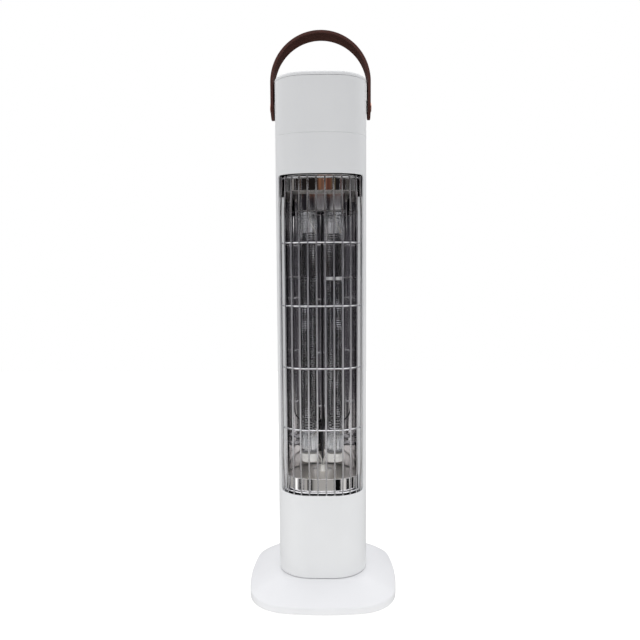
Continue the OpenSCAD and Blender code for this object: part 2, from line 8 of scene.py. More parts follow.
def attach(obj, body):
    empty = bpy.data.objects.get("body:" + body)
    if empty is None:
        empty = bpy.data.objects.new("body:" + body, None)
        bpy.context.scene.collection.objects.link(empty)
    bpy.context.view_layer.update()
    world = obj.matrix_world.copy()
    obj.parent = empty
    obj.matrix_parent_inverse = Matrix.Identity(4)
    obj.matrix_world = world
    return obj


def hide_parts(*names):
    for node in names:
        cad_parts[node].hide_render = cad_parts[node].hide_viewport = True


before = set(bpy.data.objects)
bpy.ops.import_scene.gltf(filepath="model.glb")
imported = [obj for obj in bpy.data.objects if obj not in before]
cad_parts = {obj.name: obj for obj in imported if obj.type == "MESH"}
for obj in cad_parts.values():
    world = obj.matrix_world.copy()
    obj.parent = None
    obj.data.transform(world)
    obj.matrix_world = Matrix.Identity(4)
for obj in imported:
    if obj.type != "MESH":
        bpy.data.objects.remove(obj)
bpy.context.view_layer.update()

# All shapes are worked out in millimetres in the part's own frame (front is -Y, up is +Z) and scaled to metres at the end.
PI = math.pi


# =====================================================================  mesh tools
class Acc:
    """Collects closed shells with exact vertex normals and makes one object of them."""

    def __init__(s):
        s.v, s.n, s.f, s.m, s.k = [], [], [], [], 0

    def add(s, V, Nn, F, mat=0):
        V = np.asarray(V, float).reshape(-1, 3)
        Nn = np.asarray(Nn, float).reshape(-1, 3)
        ln = np.linalg.norm(Nn, axis=1, keepdims=True)
        Nn = Nn / np.where(ln < 1e-9, 1, ln)
        s.v.append(V)
        s.n.append(Nn)
        k = s.k
        s.f.extend([tuple(i + k for i in f) for f in F])
        s.m.extend(mat if hasattr(mat, "__len__") else [mat] * len(F))
        s.k += len(V)
        return s

    def obj(s, name, mats, body, slot=None, replaces=(), exact=True, sharp=None):
        V = np.concatenate(s.v)
        Nn = np.concatenate(s.n)
        faces = []
        for f in s.f:
            p = V[list(f[:3])] if len(f) == 3 else V[list(f)]
            g = np.cross(p[1] - p[0], p[2] - p[0]) if len(f) == 3 else np.cross(p[2] - p[0], p[3 if len(f) > 3 else 1] - p[1])
            faces.append(f if g @ Nn[list(f)].mean(0) >= 0 else f[::-1])
        me = bpy.data.meshes.new(name)
        me.from_pydata((V * 0.001).tolist(), [], faces)
        me.update()
        for m in (mats if isinstance(mats, (list, tuple)) else [mats]):
            me.materials.append(m)
        me.polygons.foreach_set("material_index", s.m)
        me.polygons.foreach_set("use_smooth", [True] * len(me.polygons))
        if sharp is not None:
            me.set_sharp_from_angle(angle=math.radians(sharp))
        elif exact:
            me.normals_split_custom_set_from_vertices(Nn.tolist())
        o = bpy.data.objects.new(name, me)
        bpy.context.scene.collection.objects.link(o)
        if body:
            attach(o, body)
        if replaces:
            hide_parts(*replaces)
        return o


def fillet(points, r=0.4, seg=3, closed=True, smooth=22.0):
    """Rounds the corners of a 2-D outline. Returns its points and their outward normals (outward is to the right of the walk)."""
    P = [np.array(p[:2], float) for p in points]
    R = [p[2] if len(p) > 2 else r for p in points]
    n = len(P)
    out, nor = [], []
    for i in range(n):
        a = P[i - 1] if (closed or i > 0) else None
        b = P[(i + 1) % n] if (closed or i < n - 1) else None
        p = P[i]
        if a is None or b is None:
            d = (b - p) if a is None else (p - a)
            d = d / np.linalg.norm(d)
            out.append(p)
            nor.append(np.array([d[1], -d[0]]))
            continue
        d1, d2 = p - a, b - p
        l1, l2 = np.linalg.norm(d1), np.linalg.norm(d2)
        d1, d2 = d1 / l1, d2 / l2
        n1, n2 = np.array([d1[1], -d1[0]]), np.array([d2[1], -d2[0]])
        turn = math.atan2(d1[0] * d2[1] - d1[1] * d2[0], d1 @ d2)
        if abs(turn) < math.radians(smooth) or R[i] <= 0:
            out.append(p)
            nor.append((n1 + n2) / np.linalg.norm(n1 + n2))
            continue
        t = min(R[i] * math.tan(abs(turn) / 2), 0.49 * l1, 0.49 * l2)
        rr = t / math.tan(abs(turn) / 2)
        c = p - d1 * t + (-n1 if turn > 0 else n1) * rr
        for j in range(seg + 1):
            g = turn * j / seg
            cs, sn = math.cos(g), math.sin(g)
            nn = np.array([n1[0] * cs - n1[1] * sn, n1[0] * sn + n1[1] * cs])
            out.append(c + (nn if turn > 0 else -nn) * rr)
            nor.append(nn)
    return np.array(out), np.array(nor)


def grid_faces(m, n, close_m, close_n):
    """Quads of an m by n grid of vertices, numbered row by row."""
    F = []
    for i in range(m if close_m else m - 1):
        for j in range(n if close_n else n - 1):
            a, b = i * n + j, i * n + (j + 1) % n
            c, d = ((i + 1) % m) * n + (j + 1) % n, ((i + 1) % m) * n + j
            F.append((a, b, c, d))
    return F


def lathe(acc, profile, seg=48, r=0.3, closed=True, at=(0, 0, 0), axis="z", mat=0, fseg=3):
    """Turns an (r, z) outline round an axis. An outline that starts and ends on the axis isn't closed."""
    P, Nn = fillet(profile, r, fseg, closed)
    # an outline walked with z upward on its outer side has its outside to the right
    m = len(P)
    th = np.linspace(0, 2 * PI, seg, endpoint=False)
    V, W = [], []
    for i in range(m):
        for t in th:
            V.append((P[i][0] * math.cos(t), P[i][0] * math.sin(t), P[i][1]))
            W.append((Nn[i][0] * math.cos(t), Nn[i][0] * math.sin(t), Nn[i][1]))
    F = grid_faces(m, seg, closed, True)
    V, W = np.array(V), np.array(W)
    if not closed:
        keep = []
        for end, z in ((0, -1), (m - 1, 1)):
            if P[end][0] < 1e-6:
                ring = [end * seg + j for j in range(seg)]
                V = np.vstack([V, [[0, 0, P[end][1]]]])
                W = np.vstack([W, [[0, 0, Nn[end][1] if abs(Nn[end][1]) > 0.1 else z]]])
                c = len(V) - 1
                nb = [(i + (seg if end == 0 else -seg)) for i in ring]
                keep.append((set(ring), c, nb))
        G = []
        dead = set().union(*[k[0] for k in keep]) if keep else set()
        for f in F:
            if not (set(f) & dead):
                G.append(f)
        for _, c, nb in keep:
            for j in range(seg):
                G.append((c, nb[j], nb[(j + 1) % seg]))
        F = G
        used = sorted(set(i for f in F for i in f))
        mp = {u: k for k, u in enumerate(used)}
        V, W = V[used], W[used]
        F = [tuple(mp[i] for i in f) for f in F]
    if axis == "x":
        V, W = V[:, [2, 0, 1]], W[:, [2, 0, 1]]
    elif axis == "-x":
        V, W = V[:, [2, 0, 1]] * [-1, 1, 1], W[:, [2, 0, 1]] * [-1, 1, 1]
    elif axis == "y":
        V, W = V[:, [0, 2, 1]] * [1, 1, 1], W[:, [0, 2, 1]]
    elif axis == "-z":
        V, W = V * [1, 1, -1], W * [1, 1, -1]
    acc.add(V + np.array(at), W, F, mat)
    return acc


def sweep(acc, path, rad=1.0, sides=12, closed=False, mat=0, flat=1.0, up=None, round_end=True):
    """A round (or flattened) wire along a path."""
    P = np.asarray(path, float)
    n = len(P)
    if closed:
        T = np.roll(P, -1, 0) - np.roll(P, 1, 0)
    else:
        T = np.gradient(P, axis=0)
    T /= np.linalg.norm(T, axis=1, keepdims=True)
    u0 = np.array(up if up is not None else ([0, 0, 1] if abs(T[0][2]) < 0.9 else [0, 1, 0]), float)
    A = []
    a = u0 - (u0 @ T[0]) * T[0]
    a /= np.linalg.norm(a)
    for i in range(n):
        a = (u0 if up is not None else a) - ((u0 if up is not None else a) @ T[i]) * T[i]
        a = a / np.linalg.norm(a)
        A.append(a)
    A = np.array(A)
    B = np.cross(T, A)
    R = np.broadcast_to(np.asarray(rad, float), (n,))
    th = np.linspace(0, 2 * PI, sides, endpoint=False)
    rows, nrm = [], []

    def ring(c, a, b, r, t=None, k=0.0):
        d = np.cos(th)[:, None] * a * flat + np.sin(th)[:, None] * b
        nn = np.cos(th)[:, None] * a / flat + np.sin(th)[:, None] * b
        nn /= np.linalg.norm(nn, axis=1, keepdims=True)
        if t is not None:
            nn = nn * math.sqrt(max(0.0, 1 - k * k)) + t * k
        rows.append(c + d * r)
        nrm.append(nn)

    if not closed and round_end:
        for k in (0.95, 0.75, 0.4):
            ring(P[0] + T[0] * R[0] * (1 - k) * 0.5, A[0], B[0], R[0] * math.sqrt(1 - k * k) if k < 0.9 else R[0] * 0.35, -T[0], k)
    for i in range(n):
        if not closed and round_end and i in (0, n - 1):
            ring(P[i] + T[i] * R[i] * (0.5 if i == 0 else -0.5), A[i], B[i], R[i])
        else:
            ring(P[i], A[i], B[i], R[i])
    if not closed and round_end:
        for k in (0.4, 0.75, 0.95):
            ring(P[-1] - T[-1] * R[-1] * (1 - k) * 0.5, A[-1], B[-1], R[-1] * math.sqrt(1 - k * k) if k < 0.9 else R[-1] * 0.35, T[-1], k)
    m = len(rows)
    V, W = np.concatenate(rows), np.concatenate(nrm)
    F = grid_faces(m, sides, closed, True)
    if not closed:
        V = np.vstack([V, rows[0].mean(0), rows[-1].mean(0)])
        W = np.vstack([W, -T[0], T[-1]])
        for j in range(sides):
            F.append((m * sides, j, (j + 1) % sides))
            F.append((m * sides + 1, (m - 1) * sides + j, (m - 1) * sides + (j + 1) % sides))
    acc.add(V, W, F, mat)
    return acc


def soft_path(points, r=3.0, seg=6, step=8.0):
    """A 3-D polyline with rounded corners and extra points along its straights."""
    P = [np.array(p, float) for p in points]
    out = [P[0]]
    for i in range(1, len(P) - 1):
        a, p, b = P[i - 1], P[i], P[i + 1]
        d1, d2 = a - p, b - p
        l1, l2 = np.linalg.norm(d1), np.linalg.norm(d2)
        t = min(r, 0.45 * l1, 0.45 * l2)
        q1, q2 = p + d1 / l1 * t, p + d2 / l2 * t
        for j in range(seg + 1):
            k = j / seg
            out.append((1 - k) ** 2 * q1 + 2 * k * (1 - k) * p + k * k * q2)
    out.append(P[-1])
    res = [out[0]]
    for q in out[1:]:
        d = np.linalg.norm(q - res[-1])
        if d < 1e-6:
            continue
        k = max(1, int(d / step))
        base = res[-1]
        for j in range(1, k + 1):
            res.append(base + (q - base) * j / k)
    return np.array(res)


def area2(L):
    x, y = L[:, 0], L[:, 1]
    return 0.5 * np.sum(x * np.roll(y, -1) - y * np.roll(x, -1))


def dense(L, step):
    out = []
    n = len(L)
    for i in range(n):
        a, b = L[i], L[(i + 1) % n]
        k = max(1, int(math.ceil(np.linalg.norm(b - a) / step)))
        for j in range(k):
            out.append(a + (b - a) * j / k)
    return np.array(out)


def rrect(x0, y0, x1, y1, r, seg=6):
    """Rounded rectangle, counter-clockwise."""
    out = []
    for cx, cy, a0 in ((x1 - r, y1 - r, 0), (x0 + r, y1 - r, 90), (x0 + r, y0 + r, 180), (x1 - r, y0 + r, 270)):
        for j in range(seg + 1):
            t = math.radians(a0 + 90 * j / seg)
            out.append((cx + r * math.cos(t), cy + r * math.sin(t)))
    return np.array(out)


def circ(cx, cy, r, n=32):
    return np.array([(cx + r * math.cos(2 * PI * i / n), cy + r * math.sin(2 * PI * i / n)) for i in range(n)])


def inside(pts, loops):
    """Even-odd test of points against loops."""
    res = np.zeros(len(pts), bool)
    for L in loops:
        a, b = L, np.roll(L, -1, 0)
        for (x1, y1), (x2, y2) in zip(a, b):
            if y1 == y2:
                continue
            hit = ((y1 > pts[:, 1]) != (y2 > pts[:, 1])) & (pts[:, 0] < (x2 - x1) * (pts[:, 1] - y1) / (y2 - y1) + x1)
            res ^= hit
    return res


def plate(acc, loops, surf, t, bev=0.3, step=(2.0, 20.0), seg=3, mat=0, rim_mat=None, back_mat=None, grooves=(), rim=()):
    """A sheet of thickness t cut along loops (the first is its outline, the others are holes) in the (p, q) plane, laid on a surface.
    surf(p, q, d) gives points d under the outer skin and the skin's normals. Every edge is rounded. grooves are (offset, depth) lines that run along the
    outline on the outer skin; rim are (offset, depth) points on the outline's side wall."""
    step = np.array(step, float)
    rings = []          # per loop: list of (offset, depth, angle) -> vertex rows
    outer = [(bev * (1 - math.sin(a)), bev * (1 - math.cos(a)), a) for a in [PI / 2 * j / seg for j in range(seg + 1)]]
    base = [(o, d, a) for o, d, a in outer]
    inner = [(o, t - d, PI - a) for o, d, a in outer[::-1]]
    V, W, F, M = [], [], [], []
    off = 0
    skin_out, skin_in = [], []
    for li, L in enumerate(loops):
        L = np.asarray(L, float)
        if (area2(L) > 0) != (li == 0):
            L = L[::-1]
        Ls = dense(L / step, 1.0) * step
        e = np.roll(Ls, -1, 0) - Ls
        e /= np.linalg.norm(e, axis=1, keepdims=True)
        nl = np.stack([-e[:, 1], e[:, 0]], 1)            # left of the walk: into the material
        npv = np.roll(nl, 1, 0)
        mv = nl + npv
        mv /= np.maximum(1e-9, np.linalg.norm(mv, axis=1, keepdims=True))
        mit = 1 / np.clip((mv * nl).sum(1), 0.5, 1)
        prof = list(base)
        if li == 0 and rim:
            prof = prof + [(o, d, PI / 2) for o, d in rim]
        prof = prof + list(inner)
        if li == 0 and grooves:
            prof = [(o, d, 0.0) for o, d in grooves] + prof
        n = len(Ls)
        rows = []
        for o, d, a in prof:
            q = Ls + mv * (o * mit)[:, None]
            X, Nn = surf(q[:, 0], q[:, 1], np.full(n, d))
            X2, _ = surf(q[:, 0] - mv[:, 0] * 0.05, q[:, 1] - mv[:, 1] * 0.05, np.full(n, d))
            T = X2 - X
            T -= (T * Nn).sum(1, keepdims=True) * Nn
            T /= np.linalg.norm(T, axis=1, keepdims=True)
            V.append(X)
            W.append(Nn * math.cos(a) + T * math.sin(a))
            rows.append((off, q))
            off += n
        for j in range(len(rows) - 1):
            a, b = rows[j][0], rows[j + 1][0]
            skin = li == 0 and grooves and j < len(grooves)
            for i in range(n):
                F.append((a + i, a + (i + 1) % n, b + (i + 1) % n, b + i))
                M.append(mat if (skin or rim_mat is None) else rim_mat)
        skin_out.append((rows[0][0], rows[0][1]))
        skin_in.append((rows[-1][0], rows[-1][1]))
    for skins, depth, mm, sgn in ((skin_out, grooves[0][1] if grooves else 0.0, mat, 1), (skin_in, t, mat if back_mat is None else back_mat, -1)):
        pts = np.concatenate([q for _, q in skins])
        ids = np.concatenate([np.arange(o, o + len(q)) for o, q in skins])
        edges, k = [], 0
        for _, q in skins:
            m = len(q)
            edges += [(k + i, k + (i + 1) % m) for i in range(m)]
            k += m
        lo, hi = skins[0][1].min(0), skins[0][1].max(0)
        nx, ny = np.maximum(2, np.ceil((hi - lo) / step).astype(int))
        gx, gy = np.meshgrid(lo[0] + (hi[0] - lo[0]) * (np.arange(nx) + 0.5) / nx, lo[1] + (hi[1] - lo[1]) * (np.arange(ny) + 0.5) / ny)
        g = np.stack([gx.ravel(), gy.ravel()], 1)
        g = g[inside(g / step, [q / step for _, q in skins])]
        if len(g):
            dmin = np.full(len(g), 1e9)
            for _, q in skins:
                for c in range(0, len(q), 200):
                    dd = np.linalg.norm((g[:, None, :] - q[None, c:c + 200, :]) / step, axis=2).min(1)
                    dmin = np.minimum(dmin, dd)
            g = g[dmin > 0.45]
        allp = np.vstack([pts, g]) if len(g) else pts
        co = [Vector(p) for p in (allp / step).tolist()]
        ov, oe, of, orig, _, _ = delaunay_2d_cdt(co, edges, [], 0, 1e-7)
        ov = np.array([tuple(p) for p in ov])
        tri = np.array([f for f in of if len(f) == 3])
        cen = ov[tri].mean(1)
        tri = tri[inside(cen, [q / step for _, q in skins])]
        mp = np.full(len(ov), -1)
        newp = []
        for i, o in enumerate(orig):
            o = [x for x in o if x < len(pts)]
            if o:
                mp[i] = ids[o[0]]
            else:
                mp[i] = off + len(newp)
                newp.append(ov[i] * step)
        if newp:
            q = np.array(newp)
            X, Nn = surf(q[:, 0], q[:, 1], np.full(len(q), depth))
            V.append(X)
            W.append(Nn * sgn)
            off += len(q)
        for a, b, c in tri:
            F.append((int(mp[a]), int(mp[b]), int(mp[c])))
            M.append(mm)
    acc.add(np.concatenate(V), np.concatenate(W), F, M)
    return acc


def flat_surf(origin, ex, ey, nz):
    """A plane: p along ex, q along ey, depth against the normal nz."""
    o, ex, ey, nz = (np.array(x, float) for x in (origin, ex, ey, nz))

    def f(p, q, d):
        X = o + p[:, None] * ex + q[:, None] * ey - d[:, None] * nz
        return X, np.repeat(nz[None], len(p), 0)
    return f


class Squ:
    """The rounded square that the column and the base share: four shallow arcs joined by four corner arcs."""

    def __init__(s, a, c, r):
        k = (-c + math.sqrt(2 * (a + c - r) ** 2 - c * c)) / 2
        s.a, s.c, s.r, s.k, s.al, s.R = a, c, r, k, math.atan2(k, k + c), a + c
        s.l1, s.l2 = s.R * s.al, r * (PI / 2 - 2 * s.al)
        s.q = 2 * s.l1 + s.l2
        s.P = 4 * s.q

    def at(s, u, d):
        """Points at arc length u from the middle of the front, towards +X, d inside the outline; and the outward normals."""
        u = np.asarray(u, float)
        d = np.broadcast_to(np.asarray(d, float), u.shape)
        um = np.mod(u, s.P)
        qd = np.minimum(3, np.floor(um / s.q))
        v = um - qd * s.q
        f1, f2 = v < s.l1, v < s.l1 + s.l2
        ph = np.where(f1, v / s.R, np.where(f2, s.al + (v - s.l1) / s.r, PI / 2 - s.al + (v - s.l1 - s.l2) / s.R))
        sn, cs = np.sin(ph), np.cos(ph)
        x = np.where(f1, (s.R - d) * sn, np.where(f2, s.k + (s.r - d) * sn, (s.R - d) * sn - s.c))
        y = np.where(f1, s.c - (s.R - d) * cs, np.where(f2, -s.k - (s.r - d) * cs, -(s.R - d) * cs))
        g = qd * PI / 2
        cg, sg = np.cos(g), np.sin(g)
        return np.stack([x * cg - y * sg, x * sg + y * cg], -1), np.stack([sn * cg + cs * sg, sn * sg - cs * cg], -1)

    def u_at_y(s, y):
        """Arc length on the +X side where the outline reaches y."""
        lo, hi = 0.0, s.P / 2
        for _ in range(60):
            m = (lo + hi) / 2
            if s.at(np.array([m]), 0.0)[0][0][1] < y:
                lo = m
            else:
                hi = m
        return lo

    def surf(s):
        def f(p, q, d):
            X, Nn = s.at(p, d)
            return np.concatenate([X, q[:, None]], 1), np.concatenate([Nn, np.zeros((len(p), 1))], 1)
        return f

    def outline(s, d, n=240):
        return s.at(np.linspace(0, s.P, n, endpoint=False), d)[0]

    def loft(s, acc, profile, n=288, r=0.3, closed=True, mat=0, fseg=3, smooth=22.0):
        """Carries an (inset, height) outline round the rounded square. Walk it with the height rising on the outer side."""
        # the inset grows inwards, so the outline is mirrored to (-inset, z) for its normals
        P, Nn = fillet([(-p[0],) + tuple(p[1:]) for p in profile], r, fseg, closed, smooth)
        u = np.linspace(0, s.P, n, endpoint=False)
        V, W = [], []
        for (di, z), (nd, nz) in zip(P, Nn):
            X, N2 = s.at(u, -di)
            V.append(np.concatenate([X, np.full((n, 1), z)], 1))
            W.append(np.concatenate([N2 * nd, np.full((n, 1), nz)], 1))
        acc.add(np.concatenate(V), np.concatenate(W), grid_faces(len(P), n, closed, True), mat)
        return acc


BODY = Squ(55.0, 246.5, 39.8)
BASE = Squ(92.3, 226.9, 49.9)


# =====================================================================  materials
class Mat:
    def __init__(s, name, color, rough, metal=0.0, **kw):
        s.m = bpy.data.materials.new(name)
        s.m.use_nodes = True
        s.nt = s.m.node_tree
        s.b = s.nt.nodes["Principled BSDF"]
        s.out = s.nt.nodes["Material Output"]
        s.b.inputs["Base Color"].default_value = tuple(color) + (1,) if len(color) == 3 else color
        s.b.inputs["Roughness"].default_value = rough
        s.b.inputs["Metallic"].default_value = metal
        for k, v in kw.items():
            s.b.inputs[k.replace("_", " ")].default_value = v
        s.tc = s.nt.nodes.new("ShaderNodeTexCoord")
        s.bump_from = None

    def node(s, kind, **inputs):
        n = s.nt.nodes.new("ShaderNode" + kind)
        for k, v in inputs.items():
            if k.startswith("_"):
                setattr(n, k[1:], v)
            elif hasattr(v, "is_output"):
                s.nt.links.new(v, n.inputs[k])
            else:
                n.inputs[k].default_value = v
        return n

    def coords(s, scale=(1, 1, 1), rot=(0, 0, 0)):
        mp = s.node("Mapping")
        s.nt.links.new(s.tc.outputs["Object"], mp.inputs["Vector"])
        mp.inputs["Scale"].default_value = scale
        mp.inputs["Rotation"].default_value = rot
        return mp.outputs["Vector"]

    def noise(s, scale, detail=3.0, rough=0.5, vec=None, dist=0.0):
        n = s.node("TexNoise", Scale=scale, Detail=detail, Roughness=rough, Distortion=dist, Vector=vec if vec is not None else s.coords())
        return n.outputs["Fac"]

    def voronoi(s, scale, feature="F1", vec=None, rand=1.0):
        n = s.node("TexVoronoi", _feature=feature, Scale=scale, Randomness=rand, Vector=vec if vec is not None else s.coords())
        return n.outputs["Distance"]

    def ramp(s, fac, stops):
        n = s.node("ValToRGB", Fac=fac)
        e = n.color_ramp.elements
        while len(e) < len(stops):
            e.new(0.5)
        for k, (pos, col) in enumerate(stops):
            e[k].position = pos
            e[k].color = tuple(col) + (1,) if hasattr(col, "__len__") and len(col) == 3 else ((col, col, col, 1) if not hasattr(col, "__len__") else col)
        return n.outputs["Color"]

    def rng(s, fac, lo, hi, a=0.3, b=0.7):
        n = s.node("MapRange", Value=fac)
        for k, v in (("From Min", a), ("From Max", b), ("To Min", lo), ("To Max", hi)):
            n.inputs[k].default_value = v
        return n.outputs["Result"]

    def math(s, op, a, b=0.0, clamp=False):
        n = s.nt.nodes.new("ShaderNodeMath")
        n.operation = op
        n.use_clamp = clamp
        for i, v in enumerate((a, b)):
            if hasattr(v, "is_output"):
                s.nt.links.new(v, n.inputs[i])
            else:
                n.inputs[i].default_value = v
        return n.outputs[0]

    def link(s, sock, name):
        s.nt.links.new(sock, s.b.inputs[name])
        return s

    def color(s, sock):
        return s.link(sock, "Base Color")

    def rough(s, sock):
        return s.link(sock, "Roughness")

    def bump(s, height, dist, strength=1.0):
        """dist is in metres."""
        n = s.node("Bump", Strength=strength, Distance=dist, Height=height)
        if s.bump_from is not None:
            s.nt.links.new(s.bump_from, n.inputs["Normal"])
        s.bump_from = n.outputs["Normal"]
        s.nt.links.new(s.bump_from, s.b.inputs["Normal"])
        return s


def paint(name, c, rough=0.36, peel=0.000012, var=0.012, grain=1500.0):
    """Satin paint or moulded gloss plastic: fine peel, a little unevenness in gloss and tone."""
    m = Mat(name, c, rough, 0.0)
    n = m.noise(18.0, 3.0)
    lo, hi = [x * (1 - var) for x in c], [min(1.0, x * (1 + var)) for x in c]
    m.color(m.ramp(n, [(0.32, lo), (0.68, hi)]))
    m.rough(m.rng(m.noise(55.0, 4.0), rough * 0.88, rough * 1.14))
    m.bump(m.noise(grain, 2.0), peel, 0.6)
    m.bump(m.noise(120.0, 1.0), peel * 2.5, 0.35)
    return m.m


def metal(name, c, rough, stretch=(1, 1, 1), scale=400.0, var=0.08, bump=0.000004, wave=0.0, wave_scale=(30, 30, 6)):
    m = Mat(name, c, rough, 1.0)
    v = m.coords(stretch)
    n = m.noise(scale, 4.0, 0.6, v)
    m.rough(m.rng(n, rough * 0.7, rough * 1.45))
    t = m.noise(25.0, 2.0)
    m.color(m.ramp(t, [(0.3, [x * (1 - var) for x in c]), (0.7, [min(1, x * (1 + var * 0.5)) for x in c])]))
    m.bump(n, bump, 0.5)
    if wave:
        m.bump(m.noise(1.0, 2.0, 0.5, m.coords(wave_scale)), wave, 1.0)
    return m.m


def plastic(name, c, rough=0.55, grain=2600.0, depth=0.00002, var=0.06, spec=None):
    m = Mat(name, c, rough)
    if spec is not None:
        m.b.inputs["Specular IOR Level"].default_value = spec
    m.color(m.ramp(m.noise(60.0, 3.0), [(0.3, [x * (1 - var) for x in c]), (0.7, [min(1, x * (1 + var)) for x in c])]))
    m.rough(m.rng(m.noise(300.0, 3.0), rough * 0.85, min(1, rough * 1.15)))
    m.bump(m.voronoi(grain), depth, 0.5)
    return m.m


def leather():
    m = Mat("leather_strap", (0.12, 0.035, 0.022), 0.6)
    m.b.inputs["Specular IOR Level"].default_value = 0.06
    v = m.coords()
    pore = m.voronoi(1100.0, "DISTANCE_TO_EDGE", v)
    pore2 = m.voronoi(520.0, "DISTANCE_TO_EDGE", m.coords((1, 1, 1.15), (0.4, 0.2, 0.1)))
    cloud = m.noise(38.0, 4.0, 0.6)
    fine = m.noise(900.0, 3.0)
    mixf = m.math("ADD", m.math("MULTIPLY", cloud, 0.75), m.math("MULTIPLY", fine, 0.25))
    col = m.ramp(mixf, [(0.30, (0.042, 0.0125, 0.0080)), (0.52, (0.064, 0.0195, 0.0125)), (0.74, (0.098, 0.033, 0.0205))])
    # painted shade: the colour is darkened to 62% along the grain's cell edges, where the creases lie
    painted_crease_shade = m.rng(pore, 0.62, 1.0, 0.0, 0.16)
    mx = m.node("MixRGB", _blend_type="MULTIPLY", Fac=1.0, Color1=col, Color2=painted_crease_shade)
    m.color(mx.outputs["Color"])
    m.rough(m.rng(m.math("ADD", m.math("MULTIPLY", pore, 1.2), m.math("MULTIPLY", cloud, 0.5)), 0.62, 0.40, 0.2, 0.6))
    m.bump(m.rng(pore, 0.0, 1.0, 0.0, 0.28), 0.00007, 0.75)
    m.bump(m.rng(pore2, 0.0, 1.0, 0.0, 0.2), 0.00006, 0.5)
    m.bump(m.noise(60.0, 3.0), 0.00035, 0.35)
    return m.m


def leather_edge():
    """Burnished and painted cut edge."""
    m = Mat("leather_edge", (0.13, 0.035, 0.022), 0.42)
    m.b.inputs["Specular IOR Level"].default_value = 0.3
    n = m.noise(260.0, 4.0, 0.6)
    m.color(m.ramp(n, [(0.3, (0.046, 0.0130, 0.0090)), (0.7, (0.080, 0.0240, 0.0160))]))
    m.rough(m.rng(n, 0.32, 0.55))
    m.bump(m.noise(700.0, 3.0), 0.00004, 0.6)
    return m.m


def flesh_side():
    """The inner, undyed-grain side of the leather: matt and slightly fibrous."""
    m = Mat("leather_flesh_side", (0.06, 0.022, 0.015), 0.85)
    m.b.inputs["Specular IOR Level"].default_value = 0.08
    n = m.noise(420.0, 4.0, 0.65)
    c = m.noise(45.0, 3.0)
    m.color(m.ramp(m.math("ADD", m.math("MULTIPLY", n, 0.5), m.math("MULTIPLY", c, 0.5)), [(0.3, (0.034, 0.0120, 0.0085)), (0.7, (0.074, 0.0270, 0.0190))]))
    m.rough(m.rng(n, 0.78, 0.95))
    m.bump(n, 0.00012, 0.8)
    return m.m


def carbon():
    """Graphitised carbon tape: fine slanted threads with a dark metallic sheen."""
    m = Mat("carbon_tape", (0.065, 0.063, 0.070), 0.2, 1.0)
    w = m.node("TexWave", _wave_type="BANDS", _bands_direction="DIAGONAL", Scale=900.0, Distortion=1.5, Detail=2.0, Vector=m.coords((1, 1, 2.2)))
    n = m.noise(700.0, 3.0)
    m.color(m.ramp(m.math("ADD", m.math("MULTIPLY", w.outputs["Fac"], 0.6), m.math("MULTIPLY", n, 0.4)),
                   [(0.25, (0.035, 0.034, 0.038)), (0.6, (0.065, 0.063, 0.070)), (0.85, (0.11, 0.107, 0.116))]))
    m.rough(m.rng(n, 0.15, 0.25))
    m.bump(w.outputs["Fac"], 0.00002, 0.5)
    return m.m


def quartz():
    """Clear fused quartz that lets light pass straight for shadow rays."""
    m = Mat("quartz_glass", (0.985, 0.99, 1.0), 0.015)
    m.b.inputs["Transmission Weight"].default_value = 1.0
    m.b.inputs["IOR"].default_value = 1.46
    n = m.noise(40.0, 3.0, 0.5, m.coords((1, 1, 0.12)))
    m.rough(m.rng(n, 0.0, 0.006, 0.45, 0.85))
    m.bump(m.noise(1.0, 2.0, 0.5, m.coords((160, 160, 9))), 0.000006, 0.4)
    z = m.node("SeparateXYZ", Vector=m.coords((1, 1, 1)))
    fog = m.ramp(m.rng(z.outputs["Z"], 0.0, 1.0, 0.17, 0.48), [(0.0, (0.62, 0.62, 0.62)), (0.055, (0.55, 0.55, 0.55)), (0.088, (0.0, 0.0, 0.0)), (0.86, (0.0, 0.0, 0.0)), (0.93, (0.08, 0.08, 0.08)), (1.0, (0.12, 0.12, 0.12))])
    streak = m.rng(m.noise(1.0, 3.0, 0.6, m.coords((420, 420, 14))), 0.10, 1.0, 0.44, 0.60)
    m.nt.links.new(m.math("SUBTRACT", 1.0, m.math("MULTIPLY", fog, streak)), m.b.inputs["Transmission Weight"])
    tr = m.node("BsdfTransparent", Color=(0.94, 0.95, 0.96, 1))
    lp = m.node("LightPath")
    mx = m.node("MixShader", Fac=lp.outputs["Is Shadow Ray"])
    m.nt.links.new(m.b.outputs[0], mx.inputs[1])
    m.nt.links.new(tr.outputs[0], mx.inputs[2])
    m.nt.links.new(mx.outputs[0], m.out.inputs["Surface"])
    return m.m


def ceramic_mat():
    m = Mat("steatite_ceramic", (0.86, 0.85, 0.82), 0.55)
    n = m.noise(500.0, 4.0, 0.7)
    m.color(m.ramp(m.math("ADD", m.math("MULTIPLY", n, 0.5), m.math("MULTIPLY", m.noise(60.0), 0.5)), [(0.3, (0.80, 0.785, 0.75)), (0.7, (0.90, 0.89, 0.87))]))
    m.rough(m.rng(n, 0.45, 0.7))
    m.bump(n, 0.00004, 0.6)
    return m.m


def sleeve_mat(name, c, braid=True):
    m = Mat(name, c, 0.6)
    w = m.node("TexWave", _wave_type="BANDS", _bands_direction="Z", Scale=520.0, Distortion=0.6, Detail=1.0, Vector=m.coords((1, 1, 1)))
    n = m.noise(900.0)
    m.color(m.ramp(m.math("ADD", m.math("MULTIPLY", w.outputs["Fac"], 0.5), m.math("MULTIPLY", n, 0.5)), [(0.3, [x * 0.75 for x in c]), (0.7, [min(1, x * 1.15) for x in c])]))
    m.rough(m.rng(n, 0.5, 0.75))
    m.bump(w.outputs["Fac"] if braid else n, 0.00006, 0.6)
    return m.m


